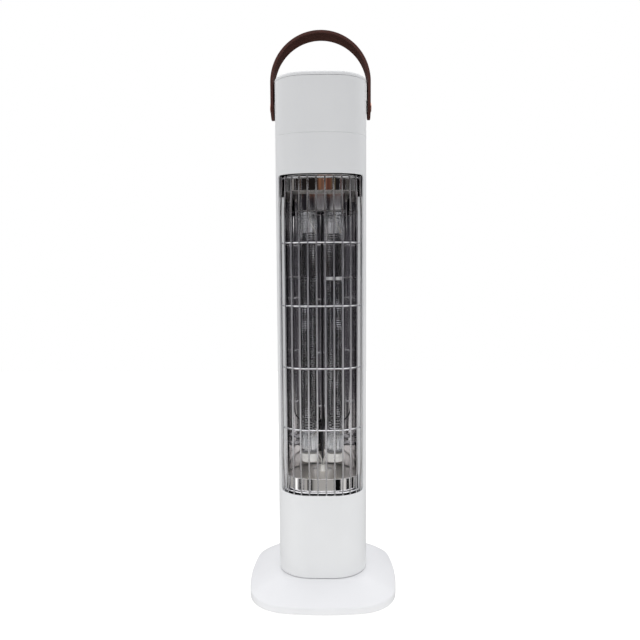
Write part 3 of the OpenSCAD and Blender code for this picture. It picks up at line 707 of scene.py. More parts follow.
def board_mat():
    m = Mat("circuit_board", (0.03, 0.16, 0.07), 0.35)
    br = m.node("TexBrick", Vector=m.coords((260, 260, 260)), Scale=1.0)
    br.inputs["Color1"].default_value = (0.025, 0.15, 0.06, 1)
    br.inputs["Color2"].default_value = (0.03, 0.19, 0.08, 1)
    br.inputs["Mortar"].default_value = (0.05, 0.26, 0.11, 1)
    br.inputs["Mortar Size"].default_value = 0.03
    m.color(br.outputs["Color"])
    m.rough(m.rng(m.noise(300.0), 0.28, 0.45))
    m.bump(br.outputs["Fac"], 0.00003, 0.5)
    return m.m


def cast_mat():
    m = Mat("cast_iron_raw", (0.07, 0.07, 0.075), 0.75, 0.8)
    n = m.noise(700.0, 5.0, 0.7)
    m.color(m.ramp(n, [(0.3, (0.035, 0.035, 0.04)), (0.7, (0.12, 0.12, 0.125))]))
    m.rough(m.rng(n, 0.6, 0.9))
    m.bump(n, 0.00015, 0.8)
    return m.m


M = {}
M["body"] = paint("white_powder_coat", (0.80, 0.805, 0.81), 0.40, 0.000014)
M["plastic"] = paint("white_moulded_plastic", (0.81, 0.81, 0.82), 0.42, 0.000012, 0.01, 2200.0)
M["lid"] = paint("white_lid_plastic", (0.80, 0.805, 0.81), 0.38, 0.00001, 0.01, 2200.0)
M["button"] = paint("button_plastic_satin", (0.74, 0.74, 0.75), 0.45, 0.000014, 0.01, 2600.0)
M["black"] = plastic("black_plastic_textured", (0.022, 0.022, 0.024))
M["fascia"] = plastic("fascia_satin_black", (0.016, 0.016, 0.018), 0.3, 5000.0, 0.000006)
M["dark"] = plastic("dark_filled_plastic", (0.055, 0.055, 0.06), 0.6)
M["cast"] = cast_mat()
M["rubber"] = plastic("black_rubber", (0.018, 0.018, 0.018), 0.82, 1800.0, 0.00003)
M["steel"] = metal("zinc_plated_steel", (0.58, 0.585, 0.59), 0.30, (1, 1, 14), 320.0)
M["steel_flat"] = metal("rolled_steel_sheet", (0.62, 0.62, 0.63), 0.26, (18, 1, 1), 260.0)
M["acetal"] = plastic("natural_acetal", (0.76, 0.75, 0.71), 0.42, 2600.0, 0.000008, 0.02)
M["red"] = plastic("red_plastic", (0.50, 0.04, 0.03), 0.42, 2600.0, 0.00001)
M["zinc_inside"] = metal("galvanised_sheet", (0.30, 0.30, 0.31), 0.42, (1, 1, 1), 180.0, 0.2)
M["mirror"] = metal("polished_reflector", (0.80, 0.79, 0.80), 0.045, (60, 60, 1.2), 60.0, 0.05, 0.000003, 0.0006, (42, 42, 5))
M["floor"] = metal("satin_end_plate", (0.77, 0.745, 0.715), 0.36, (1, 30, 1), 60.0, 0.06, 0.000006, 0.0002, (30, 30, 30))
M["skirt"] = metal("polished_skirt", (0.84, 0.83, 0.83), 0.012, (1, 1, 1), 220.0, 0.03, 0.0000005)
M["chrome"] = metal("chrome_wire", (0.70, 0.70, 0.72), 0.10, (1, 1, 0.2), 900.0, 0.05, 0.000006)
M["chrome"].node_tree.nodes["Principled BSDF"].inputs["Metallic"].default_value = 0.95
M["clip"] = metal("spring_clip_steel", (0.74, 0.74, 0.75), 0.34, (1, 1, 1), 500.0)
M["clip"].node_tree.nodes["Principled BSDF"].inputs["Metallic"].default_value = 0.45
M["quartz"] = quartz()
M["carbon"] = carbon()
M["ceramic"] = ceramic_mat()
M["sleeve_black"] = sleeve_mat("silicone_sleeve_black", (0.03, 0.03, 0.033))
M["sleeve_white"] = sleeve_mat("glass_fibre_sleeve", (0.72, 0.71, 0.68))
M["sleeve_brown"] = sleeve_mat("wire_insulation_brown", (0.16, 0.07, 0.04), False)
M["board"] = board_mat()
M["copper"] = metal("rose_copper_screw", (0.62, 0.34, 0.26), 0.30, (1, 1, 1), 700.0)
M["nickel"] = metal("nickel_lead", (0.60, 0.57, 0.52), 0.28, (1, 1, 1), 700.0)
M["leather"] = leather()
M["edge"] = leather_edge()
M["flesh"] = flesh_side()
M["lens"] = Mat("frosted_lens", (0.86, 0.66, 0.42), 0.35, 0.0).m
m = Mat("frosted_amber_lens", (0.86, 0.62, 0.36), 0.3)
m.b.inputs["Transmission Weight"].default_value = 0.35
m.color(m.ramp(m.noise(400.0), [(0.3, (0.78, 0.52, 0.28)), (0.7, (0.9, 0.68, 0.42))]))
m.rough(m.rng(m.noise(900.0), 0.25, 0.4))
M["lens"] = m.m
M["print"] = plastic("grey_marking", (0.10, 0.10, 0.11), 0.5, 4000.0, 0.000004)
M["print_pale"] = plastic("pale_marking", (0.62, 0.62, 0.62), 0.5, 4000.0, 0.000004)

# CAD nodes that stay as they are take these finishes
CAD_MATS = {
    "base_plate": "black", "ballast_plate": "cast", "base_screws": "steel", "terminal_block": "acetal", "base_wires": "sleeve_brown",
    "tip_switch": "black", "tip_bracket": "steel_flat", "tip_plunger": "red", "tip_spring": "steel", "swivel_bush": "acetal",
    "swing_motor": "steel", "motor_screws": "steel", "swing_pinion": "acetal", "slide_washer": "acetal", "turntable": "dark",
    "hub_gear": "acetal", "hub_retainer": "steel_flat", "hub_screws": "steel", "heat_shield": "steel_flat",
    "thermal_cutout": "black", "wire_loom": "sleeve_black", "power_board": "board", "upper_deck": "steel_flat",
    "handle_bracket": "steel_flat", "handle_nuts": "steel", "control_board": "board", "tact_switches": "black", "board_screws": "steel",
}
for node, key in CAD_MATS.items():
    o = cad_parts[node]
    o.data.materials.clear()
    o.data.materials.append(M[key])
    for p in o.data.polygons:
        p.material_index = 0

# =====================================================================  base
TOP = 27.0


def dome(t):
    return (1.6 + 35.7 * t, 10.4 + (TOP - 10.4) * (1.35 * t - 0.35 * t * t))


def base_cover():
    a = Acc()
    outer = [(2.6, 1.2, 0.3), (0.55, 1.2, 0.35), (0.0, 2.0, 0.5), (0.0, 8.2, 1.2)]
    dm = [(0.55, 9.75, 0)] + [dome(t) + (0,) for t in np.linspace(0, 1, 15)]
    inner = [(38.5, TOP - 2.4, 0.3)] + [(dome(t)[0] + 1.4, dome(t)[1] - 2.6, 0) for t in np.linspace(0.92, 0.05, 8)] + [(2.6, 7.4, 1.2)]
    prof = outer + dm
    # the flat round the hub runs from the dome's end to a round hole, so the rings there turn from the rounded square into a circle
    P, Nn = fillet([(-p[0],) + tuple(p[1:]) for p in prof], 0.3, 4, False, 25.0)
    Q, Nq = fillet([(-p[0],) + tuple(p[1:]) for p in inner], 0.3, 3, False, 25.0)
    n = 320
    u = np.linspace(0, BASE.P, n, endpoint=False)
    V, W = [], []

    def ring_at(di, z, nd, nz):
        X, N2 = BASE.at(u, -di)
        V.append(np.concatenate([X, np.full((n, 1), z)], 1))
        W.append(np.concatenate([N2 * nd, np.full((n, 1), nz)], 1))

    for (di, z), (nd, nz) in zip(P, Nn):
        ring_at(di, z, nd, nz)
    X0, _ = BASE.at(u, 37.3)
    ang = np.arctan2(X0[:, 1], X0[:, 0])
    C = np.stack([np.cos(ang), np.sin(ang)], 1)
    for k, z, nr, nz in ((0.5, TOP, 0, 1), (0.85, TOP, 0, 1), (1.0, TOP, 0, 1)):
        Y = X0 * (1 - k) + C * 24.35 * k
        V.append(np.concatenate([Y, np.full((n, 1), z)], 1))
        W.append(np.concatenate([C * nr, np.full((n, 1), nz)], 1))
    for r, z, nr, nz in ((24.14, TOP - 0.09, -0.7, 0.7), (24.05, TOP - 0.3, -1, 0), (24.05, TOP - 2.3, -1, 0), (24.15, TOP - 2.4, -0.7, -0.7)):
        V.append(np.concatenate([C * r, np.full((n, 1), z)], 1))
        W.append(np.concatenate([C * nr, np.full((n, 1), nz)], 1))
    for (di, z), (nd, nz) in zip(Q, Nq):
        ring_at(di, z, nd, nz)
    m = len(V)
    F = grid_faces(m, n, True, True)
    a.add(np.concatenate(V), np.concatenate(W), F)
    o = a.obj("base_cover_shell", M["plastic"], None, None, (), sharp=32)
    cut = Acc()
    lathe(cut, [(0, 78), (4.0, 78), (4.0, 98), (0, 98)], 48, 0.0, False, (0, 0, 5.4), "y")
    lathe_box = np.array([(-4.0, 78, -2), (4.0, 78, -2), (4.0, 98, -2), (-4.0, 98, -2), (-4.0, 78, 5.4), (4.0, 78, 5.4), (4.0, 98, 5.4), (-4.0, 98, 5.4)], float)
    c1 = cut.obj("cut_bore", M["plastic"], None)
    c2 = Acc().add(lathe_box, lathe_box - lathe_box.mean(0), [(0, 1, 2, 3), (4, 5, 6, 7), (0, 1, 5, 4), (1, 2, 6, 5), (2, 3, 7, 6), (3, 0, 4, 7)]).obj("cut_notch", M["plastic"], None)
    for c in (c1, c2):
        md = o.modifiers.new("cut", "BOOLEAN")
        md.operation, md.object, md.solver = "DIFFERENCE", c, "EXACT"
    dg = bpy.context.evaluated_depsgraph_get()
    me = bpy.data.meshes.new_from_object(o.evaluated_get(dg))
    o.modifiers.clear()
    old = o.data
    o.data = me
    bpy.data.meshes.remove(old)
    for c in (c1, c2):
        bpy.data.objects.remove(c)
    me.polygons.foreach_set("use_smooth", [True] * len(me.polygons))
    me.set_sharp_from_angle(angle=math.radians(32))
    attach(o, "base")
    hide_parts("base_cover")
    return o


base_cover()

# screw bosses under the cover
a = Acc()
for x in (72, -72):
    for y in (30, -30):
        lathe(a, [(1.5, 3.15), (4.0, 3.15), (4.0, 16.5), (1.5, 16.5)], 32, 0.25, True, (x, y, 0))
a.obj("base_cover_bosses", M["plastic"], "base", "white_plastic", ("base_cover",))

# feet
a = Acc()
for x in (62, -62):
    for y in (62, -62):
        lathe(a, [(0, 0.0), (5.2, 0.0), (5.6, 0.35), (6.2, 0.35), (6.6, 0.0), (8.0, 0.0), (8.0, 1.5), (3.0, 1.5), (3.0, 3.05), (4.4, 3.05), (3.6, 4.4), (0, 4.4)], 48, 0.3, False, (x, y, 0))
a.obj("rubber_feet_moulded", M["rubber"], "base", "rubber", ("rubber_feet",))

# inlet bush: flange inside, flared mouth
a = Acc()
lathe(a, [(3.1, 85.0), (3.8, 85.0), (3.8, 91.9), (3.45, 91.98), (3.1, 91.6)], 48, 0.12, True, (0, 0, 5.4), "y")
# its two wings inside the wall start in the tube's own wall
for sx in (1, -1):
    arc = [(3.5 * math.cos(t), 5.4 + 3.5 * math.sin(t)) for t in np.linspace(math.radians(48.9), math.radians(-41.1), 12)]
    wing = [(5.9, 3.1), (6.4, 3.6), (6.4, 7.9), (5.7, 8.6), (2.3, 8.6)] + arc
    wing = np.array([(sx * x, z) for x, z in wing][::sx])
    plate(a, [wing], flat_surf((0, 84.9, 0), (1, 0, 0), (0, 0, 1), (0, -1, 0)), 2.0, 0.2, (3, 3))
a.obj("cable_inlet_bush", M["rubber"], "base", "rubber", ("cable_grommet",))

# base screws, seen from below
def screw(acc, at, rh, hh, rs, l, axis, mat=0):
    """Pan-head screw: domed head with a round, conical recess, and a threaded shank. The head's top faces along axis.
    """
    lathe(acc, [(0, -l), (rs * 0.35, -l), (rs, -l + 1.2), (rs, 0.0), (rh, 0.0), (rh, hh * 0.45, 0.2), (rh * 0.78, hh * 0.9), (rh * 0.5, hh * 0.98),
                (rh * 0.30, hh * 0.98, 0.1), (rh * 0.22, hh * 0.35, 0.1), (0, hh * 0.3)], 32, 0.15, False, at, axis, mat)
    for k in range(int((l - 1.4) / 0.8)):
        z = -l + 1.3 + k * 0.8
        lathe(acc, [(rs * 0.9, z), (rs * 1.16, z + 0.28), (rs * 1.16, z + 0.36), (rs * 0.9, z + 0.62)], 24, 0.05, True, at, axis, mat)


a = Acc()
for x in (72, -72):
    for y in (30, -30):
        screw(a, (x, y, 1.5), 3.4, 1.1, 1.4, 9.4, "-z")
a.obj("base_plate_screws", M["steel"], "base", "steel", ("base_screws",))

# =====================================================================  column
Z0, Z1 = 27.8, 558.0
u_split, u_win = BODY.u_at_y(18.0), BODY.u_at_y(-32.0)
u_rear = BODY.u_at_y(18.3)

a = Acc()
plate(a, [rrect(-u_split, Z0, u_split, Z1, 0.5), rrect(-u_win, 130.0, u_win, 512.0, 4.0, 8)], BODY.surf(), 2.0, 0.45, (2.0, 14.0), 4, 0, 0, 1)
# lips folded in beside the window
for s in (-1, 1):
    plate(a, [rrect(min(s * 43.8, s * 49.5), 126.0, max(s * 43.8, s * 49.5), 487.0, 0.6)], flat_surf((0, -30.2, 0), (1, 0, 0), (0, 0, 1), (0, -1, 0)), 1.5, 0.4, (2.0, 14.0))
# tongues that locate the back half
for z in (60, 300, 535):
    for s in (-1, 1):
        u0, u1 = BODY.u_at_y(12.5), BODY.u_at_y(24.0)
        plate(a, [rrect(min(s * u0, s * u1), z - 6, max(s * u0, s * u1), z + 6, 1.0)], (lambda f: lambda p, q, d: f(p, q, d + 2.25))(BODY.surf()), 1.5, 0.3, (2.0, 6.0))
a.obj("column_front_half", [M["body"], M["zinc_inside"]], "column", "white_painted_steel", ("column_front_shell",))

a = Acc()
rear = BODY.surf()
half = BODY.P / 2
holes = []
for s in (-1, 1):
    for i in range(9):
        for z in (66 + i * 7, 432 + i * 7):
            holes.append(rrect(half + s * 14 - 10, z, half + s * 14 + 10, z + 3, 1.45, 5))
    for z in (46, 528):
        holes.append(circ(half + s * 12, z, 3.7, 32))
plate(a, [rrect(u_rear, Z0, BODY.P - u_rear, Z1, 0.5)] + holes, rear, 2.0, 0.45, (2.0, 14.0), 4, 0, 0, 1)
for s in (-1, 1):
    for z in (46, 528):
        lathe(a, [(1.6, 52.3), (3.7, 52.3), (3.7, 54.6), (3.6, 54.6), (3.6, 53.9), (1.6, 53.9)], 32, 0.1, True, (s * 12, 0, z), "y")
a.obj("column_back_half", [M["body"], M["zinc_inside"]], "column", "white_painted_steel", ("column_rear_shell",))

a = Acc()
for s in (-1, 1):
    for z in (46, 528):
        screw(a, (s * 12, 53.95, z), 3.3, 0.95, 1.2, 8.0, "y")
a.obj("back_half_screws", M["steel"], "column", "steel", ("rear_screws",))

# =====================================================================  head and lid
a = Acc()
BODY.loft(a, [(2.4, 558.06), (0.0, 558.06, 0.16), (0.0, 621.5, 0.3), (2.4, 621.5)], 288, 0.3, True, 0, 4)
BODY.loft(a, [(4.2, 551.0), (2.35, 551.0), (2.35, 561.0), (4.2, 561.0)], 288, 0.3)
a.obj("head_sleeve", M["body"], "column", "white_plastic", ("head_shell",))

a = Acc()
lid_rim = [(2.6, 0.0, 0.0), (2.0, 0.14, 0.45), (1.35, 0.62, 0.7), (0.85, 1.35, 0.95), (0.45, 2.3, 1.15), (0.12, 3.3, 1.38), (0.0, 4.0, PI / 2)]


def fascia_loop(g, n=28):
    out = []
    for sx, a0 in ((1, -90), (-1, 90)):
        for j in range(n + 1):
            t = math.radians(a0 + 180 * j / n)
            out.append((sx * 23.0 + (12 + g) * math.cos(t), -12 + (12 + g) * math.sin(t)))
    return np.array(out)


lid_top = flat_surf((0, 0, 626.2), (1, 0, 0), (0, 1, 0), (0, 0, 1))
# the lid: flat top with a stadium-shaped recess, and a rim that rolls down to the head
plate(a, [BODY.outline(3.4, 320), fascia_loop(0.1)], lid_top, 2.2, 0.25, (4.0, 4.0))
BODY.loft(a, [(8.0, 621.75), (0.1, 621.85, 0.2), (0.0, 622.3, 0.2), (0.05, 624.3, 0.5), (0.7, 625.5, 0.6), (1.7, 626.1, 0.6), (3.75, 626.2, 0.3), (3.75, 624.1, 0.2), (8.0, 624.1, 0.2)], 320, 0.3, True, 0, 4, 8.0)
plate(a, [fascia_loop(0.9), fascia_loop(-1.2)], flat_surf((0, 0, 625.0), (1, 0, 0), (0, 1, 0), (0, 0, 1)), 1.4, 0.15, (4.0, 4.0))
a.obj("lid", M["lid"], "column", "white_plastic", ("top_lid",))

a = Acc()
holes = [circ(x, -12, 5.8, 48) for x in (-19, 0, 19)] + [rrect(-8.1, -4.1, 8.1, -1.9, 0.6)]
plate(a, [fascia_loop(0.0)] + holes, flat_surf((0, 0, 626.1), (1, 0, 0), (0, 1, 0), (0, 0, 1)), 1.05, 0.15, (3.0, 3.0))
a.obj("control_fascia_plate", M["fascia"], "column", "black_plastic", ("control_fascia",))
a = Acc()
plate(a, [rrect(-8.0, -4.0, 8.0, -2.0, 0.7)], flat_surf((0, 0, 626.15), (1, 0, 0), (0, 1, 0), (0, 0, 1)), 1.1, 0.3, (1.0, 1.0))
a.obj("indicator_window", M["lens"], "column", "lens", ("indicator_lens",))


def arc_pts(cx, cy, r, a0, a1, n=20):
    return [(cx + r * math.cos(math.radians(a0 + (a1 - a0) * j / n)), cy + r * math.sin(math.radians(a0 + (a1 - a0) * j / n))) for j in range(n + 1)]


def mark(acc, pts, z, w=0.28, mat=1):
    P = np.array([(x, y, z) for x, y in pts])
    if len(P) == 2:
        P = np.array([P[0] + (P[1] - P[0]) * k / 4 for k in range(5)])
    sweep(acc, P, w, 8, False, mat, 0.25, (0, 0, 1))


def button(i, name):
    x = i * 19.0
    a = Acc()
    lathe(a, [(0, 613.3), (2.0, 613.3), (2.0, 620.9), (6.5, 620.9), (6.5, 622.4), (5.5, 622.4), (5.5, 627.0, 0.55), (4.4, 626.92, 0), (3.0, 626.72, 0), (1.5, 626.6, 0), (0, 626.56, 0)],
          64, 0.25, False, (x, -12, 0), fseg=4)
    z = 626.70
    if i == -1:      # a ring with a bar: on and off
        mark(a, arc_pts(x, -12.1, 1.9, 125, 415, 26), z)
        mark(a, [(x, -11.4), (x, -9.6)], z + 0.02)
    elif i == 0:     # a curved double arrow: swing
        mark(a, arc_pts(x, -14.0, 3.0, 35, 145, 18), z + 0.05)
        for sx in (-1, 1):
            ex, ey = x + sx * 3.0 * math.cos(math.radians(35)), -14.0 + 3.0 * math.sin(math.radians(35))
            mark(a, [(ex - sx * 0.15, ey + 1.15), (ex, ey)], z + 0.06)
            mark(a, [(ex - sx * 1.15, ey - 0.05), (ex, ey)], z + 0.06)
    else:            # a clock face
        mark(a, arc_pts(x, -12, 2.1, 0, 360, 32), z)
        mark(a, [(x, -12), (x, -10.7)], z - 0.04)
        mark(a, [(x, -12), (x + 1.0, -12.5)], z - 0.04)
    a.obj(name + "_cap", [M["button"], M["print"]], name, "button_plastic", (name,))


button(-1, "button_heat")
button(0, "button_swing")
button(1, "button_timer")

# =====================================================================  handle
RI, TS = 56.5, 3.6
RO = RI + TS
LEG = 624.0 - 597.0
HALF = RO * PI / 2 + LEG


def strap_surf(p, q, d):
    """p runs along the strap from the left pivot to the right one, 0 at the top; q is across it, along Y."""
    s = np.sign(p)
    ap = np.abs(p)
    arch = ap < RO * PI / 2
    th = np.where(arch, ap / RO, PI / 2)
    r = RO - d
    x = np.where(arch, r * np.sin(th), r)
    z = np.where(arch, 624.0 + r * np.cos(th), 624.0 - (ap - RO * PI / 2))
    X = np.stack([s * x, q, z], 1)
    Nn = np.stack([s * np.sin(th), np.zeros(len(p)), np.where(arch, np.cos(th), 0.0)], 1)
    return X, Nn


outl = [(HALF + 15 * math.cos(math.radians(t)), 15 * math.sin(math.radians(t))) for t in np.linspace(-90, 90, 33)]
outl += [(-HALF - 15 * math.cos(math.radians(t)), -15 * math.sin(math.radians(t))) for t in np.linspace(-90, 90, 33)]
a = Acc()
plate(a, [np.array(outl), circ(HALF, 0, 3.1, 32), circ(-HALF, 0, 3.1, 32)], strap_surf, TS, 0.7, (1.6, 1.6), 4, 0, 1, 2,
      grooves=[(3.0, 0.0), (2.75, 0.05), (2.55, 0.14), (2.35, 0.05), (2.1, 0.0), (1.2, 0.0)],
      rim=[(0.0, 1.62), (0.09, 1.72), (0.16, 1.8), (0.09, 1.88), (0.0, 1.98)])
a.obj("strap", [M["leather"], M["edge"], M["flesh"]], "handle", "leather", ("handle_strap",))

a = Acc()
for ax in ("x", "-x"):
    lathe(a, [(0, 44.0), (2.3, 44.0), (2.5, 44.4), (2.5, 52.3), (3.0, 52.35), (3.0, 60.15), (6.0, 60.15), (6.0, 60.75, 0.3), (5.3, 61.35, 0.4), (3.6, 61.55, 0), (2.3, 61.6, 0.08), (1.9, 61.0, 0.1), (0, 60.9)],
          48, 0.15, False, (0, 0, 597.0), ax)
a.obj("pivot_screws", M["copper"], "column", "copper_screw", ("handle_screws",))
a = Acc()
for ax in ("x", "-x"):
    lathe(a, [(3.1, 55.05), (8.0, 55.05), (8.0, 56.4), (3.1, 56.4)], 48, 0.3, True, (0, 0, 597.0), ax)
a.obj("pivot_spacers", M["acetal"], "column", "acetal", ("handle_spacers",))

# =====================================================================  guard
a = Acc()
F_ = BODY
WR = 1.0
bars = [s * (i + 0.5) * 10.2 for i in range(5) for s in (-1, 1)] + [-54.45, 54.45]


def arc_front(s, d):
    """A point on the front outline d inside it; s is measured along the outline d = 1.5 inside, as the bars are spaced."""
    R = F_.R - 1.5
    l1 = R * F_.al
    u = abs(s)
    sg = -1 if s < 0 else 1
    if u <= l1:
        ph = u / R
        X = np.array([sg * (F_.R - d) * math.sin(ph), F_.c - (F_.R - d) * math.cos(ph)])
    else:
        ph = F_.al + (u - l1) / (F_.r - 1.5)
        X = np.array([sg * (F_.k + (F_.r - d) * math.sin(ph)), -F_.k - (F_.r - d) * math.cos(ph)])
    return X, np.array([sg * math.sin(ph), -math.cos(ph)])


for s in bars:
    pts = []
    for z, d in ((128.7, 3.1), (142, 3.1), (168, 1.5), (468, 1.5), (500, 3.1), (510.4, 3.1)):
        X, _ = arc_front(s, d)
        pts.append((X[0], X[1], z))
    sweep(a, soft_path(pts, 11.0, 8, 30.0), WR, 14)
ring_z = [131.9] + [135 + (507 - 135) * i / 5 for i in range(1, 5)] + [508.5]
for i, z in enumerate(ring_z):
    end = i in (0, 5)
    d = 3.42 + (1.6 if end else 0.0)
    R1 = F_.R - 1.5
    l1 = R1 * F_.al
    smax = 54.45 + (0.2 if not end else -0.2)
    P = []
    for s in np.linspace(-smax, smax, 61):
        X, _ = arc_front(s, d)
        P.append((X[0], X[1], z))
    sweep(a, P, WR, 14)
    # the weld at each crossing: a small bead between the two wires
    for s in bars:
        X, nn = arc_front(s, d - 0.95)
        P = np.array([(X[0] - nn[1] * -0.9, X[1] - nn[0] * 0.9, z), (X[0], X[1], z), (X[0] + nn[1] * -0.9, X[1] + nn[0] * 0.9, z)])
        sweep(a, P, [0.45, 0.62, 0.45], 8, False, 0)
a.obj("wire_guard_welded", M["chrome"], "column", "chrome_wire", ("guard_bars", "guard_rings"))

# =====================================================================  lamp chamber
FZ, CZ = 148.5, 493.2


def trough(p, q, d):
    """p is the arc length from the left edge round the back; the skin is the mirror side, and depth goes outwards."""
    th = PI - p / 43.0
    r = 43.0 + d
    X = np.stack([r * np.cos(th), -27.0 + r * np.sin(th), q], 1)
    Nn = np.stack([-np.cos(th), -np.sin(th), np.zeros(len(p))], 1)
    return X, Nn


a = Acc()
slots = []
for x in (-15.6, 15.6):
    pa, pb = [43.0 * (PI - math.acos(v / 43.0)) for v in (x - 4.2, x + 4.2)]
    slots.append(rrect(pa, 174.2, pb, 176.3, 0.4))
plate(a, [rrect(0.3, FZ + 1.0, 43.0 * PI - 0.3, CZ - 0.1, 0.5)] + slots, trough, 0.8, 0.2, (1.2, 12.0), 3, 0, 0, 1)
a.obj("mirror_trough", [M["mirror"], M["steel_flat"]], "column", "polished_reflector", ("reflector",))


def cap_outline(inset, y_back):
    ub = BODY.u_at_y(y_back)
    X, _ = BODY.at(np.linspace(-ub, ub, 150), inset)
    return np.array([tuple(x) for x in X])


def skirt(acc, z0, z1, inset, mat=0):
    ub = BODY.u_at_y(-24.0)
    plate(acc, [rrect(-ub, z0, ub, z1, 0.4)], (lambda f: lambda p, q, d: f(p, q, d + inset))(BODY.surf()), 1.0, 0.22, (1.5, 6.0), 3, mat)


a = Acc()
low = cap_outline(8.25, 18.0)
plate(a, [low, circ(0.5, -14, 2.6, 32), circ(-9, -5, 1.2, 24), circ(9, -5, 1.2, 24)], flat_surf((0, 0, FZ - 0.05), (1, 0, 0), (0, 1, 0), (0, 0, 1)), 1.15, 0.18, (4, 4))
skirt(a, 125.0, FZ - 0.12, 7.9, 1)
a.obj("chamber_floor", [M["floor"], M["skirt"]], "column", "polished_reflector", ("lower_end_cap",))

a = Acc()
plate(a, [low, circ(-15.6, 2, 3, 32), circ(15.6, 2, 3, 32)], flat_surf((0, 0, CZ + 0.05), (1, 0, 0), (0, 1, 0), (0, 0, -1)), 1.15, 0.18, (4, 4))
skirt(a, CZ + 0.12, 517.0, 7.9, 1)
a.obj("chamber_ceiling", [M["floor"], M["skirt"]], "column", "polished_reflector", ("upper_end_cap",))

# tube holders: the lower one is two arms whose tongues pass through slots in the mirror, the upper one a folded box
a = Acc()
for s in (-1, 1):
    x = s * 15.6
    arm = [(x - 9.5, 6.6), (x - 9.5, -22.0), (x - 8.5, -23.0), (x + 8.5, -23.0), (x + 9.5, -22.0), (x + 9.5, 6.6), (x + 8.5, 7.6), (x + 4.0, 7.6), (x + 4.0, 16.9), (x + 3.4, 17.5), (x - 3.4, 17.5), (x - 4.0, 16.9), (x - 4.0, 7.6), (x - 8.5, 7.6)]
    plate(a, [np.array(arm, float), circ(x, -12, 7.2, 40), circ(x + s * 7.0, 3.4, 1.2, 20), circ(x - s * 7.0, 3.4, 1.2, 20)],
          flat_surf((0, 0, 176.0), (1, 0, 0), (0, 1, 0), (0, 0, 1)), 1.5, 0.25, (3, 3), 3, 0, 1)
a.obj("lower_tube_holder", [M["steel_flat"], M["zinc_inside"]], "column", "steel", ("lower_bracket",))
a = Acc()
plate(a, [rrect(-28.6, -25, 28.6, 1.0, 1.2), circ(-15.6, -12, 7.2, 40), circ(15.6, -12, 7.2, 40)], flat_surf((0, 0, 472.7), (1, 0, 0), (0, 1, 0), (0, 0, 1)), 1.5, 0.25, (4, 4))
for s in (-1, 1):
    plate(a, [rrect(-25, 471.6, -6, CZ, 1.0)], flat_surf((s * 28.6, 0, 0), (0, 1, 0), (0, 0, 1), (s, 0, 0)), 1.2, 0.25, (4, 4))
plate(a, [rrect(-28.6, 471.6, 28.6, CZ, 0.8)], flat_surf((0, -25.0, 0), (1, 0, 0), (0, 0, 1), (0, -1, 0)), 1.2, 0.25, (4, 4), 3, 1)
a.obj("upper_tube_holder", [M["steel_flat"], M["mirror"]], "column", "steel", ("upper_bracket",))

# quartz tubes: thin wall, domed shoulders at both ends
for s, nm in ((-1, "left"), (1, "right")):
    a = Acc()
    ro, ri = 10.5, 9.35
    outer = [(ri - 1.6, 176.2, 0.2), (ro - 1.7, 176.2, 0.8), (ro, 178.4, 1.8), (ro, 468.8, 1.8), (ro - 1.7, 471.0, 0.8), (ri - 1.6, 471.0, 0.2)]
    inner = [(ri - 1.6, 470.2, 0.3), (ri - 0.3, 469.8, 0.8), (ri, 468.0, 1.2), (ri, 179.2, 1.2), (ri - 0.3, 177.4, 0.8), (ri - 1.6, 177.0, 0.3)]
    lathe(a, outer + inner, 72, 0.2, True, (s * 15.6, -12, 0), fseg=6)
    a.obj("quartz_lamp_tube_" + nm, M["quartz"], "column", "quartz", ("quartz_tube_" + nm,))

    # the filament: a flat carbon tape wound in a spiral, with a clamped lead at each end
    a = Acc()
    pitch, rr = 2.85, 7.95
    z0, z1 = 200.8, 445.2
    wide, per = 3, 32      # the last turns at the lower end are pulled further apart
    turns = wide + (z1 - z0 - wide * 3.6) / pitch
    npt = int(turns * per)
    k = np.arange(npt + 1)
    th = 2 * PI * k / per * (1 if s < 0 else -1)
    zz = np.interp(k, [0, wide * per, npt], [z0, z0 + wide * 3.6, z1])
    hw, ht = 0.80, 0.30
    prof = [(ht, -hw * 0.75), (ht, hw * 0.75), (ht * 0.6, hw), (-ht * 0.6, hw), (-ht, hw * 0.75), (-ht, -hw * 0.75), (-ht * 0.6, -hw), (ht * 0.6, -hw)]
    pn = [(1, -0.14), (1, 0.14), (0.5, 1), (-0.5, 1), (-1, 0.14), (-1, -0.14), (-0.5, -1), (0.5, -1)]
    V, W = [], []
    for i in range(npt + 1):
        c, sn = math.cos(th[i]), math.sin(th[i])
        for (pr, pz), (nr, nz) in zip(prof, pn):
            V.append(((rr + pr) * c, (rr + pr) * sn, zz[i] + pz))
            W.append((nr * c, nr * sn, nz))
    F = grid_faces(npt + 1, 8, False, True) + [tuple(range(8)), tuple(range(npt * 8, npt * 8 + 8))]
    V, W = np.array(V), np.array(W)
    a.add(V + np.array([s * 15.6, -12, 0]), W, F)
    for zc, ze, sg in ((z0, 178.3, -1), (z1, 468.7, 1)):
        lead = soft_path([(rr, 0, zc), (rr - 0.5, 0, zc + sg * 4), (2.6, 0, zc + sg * 12), (1.2, 0, ze)], 3.0, 5, 4.0)
        sweep(a, lead + np.array([s * 15.6, -12, 0]), 0.55, 10, False, 1)
        lathe(a, [(0, 0), (1.5, 0), (1.5, 5.5), (0, 5.5)], 24, 0.4, False, (s * 15.6 + rr - 0.2, -12, zc + (-4.6 if sg < 0 else -0.9)), "z", 1)
    a.obj("spiral_filament_" + nm, [M["carbon"], M["nickel"]], "column", "carbon", ("filament_" + nm,))

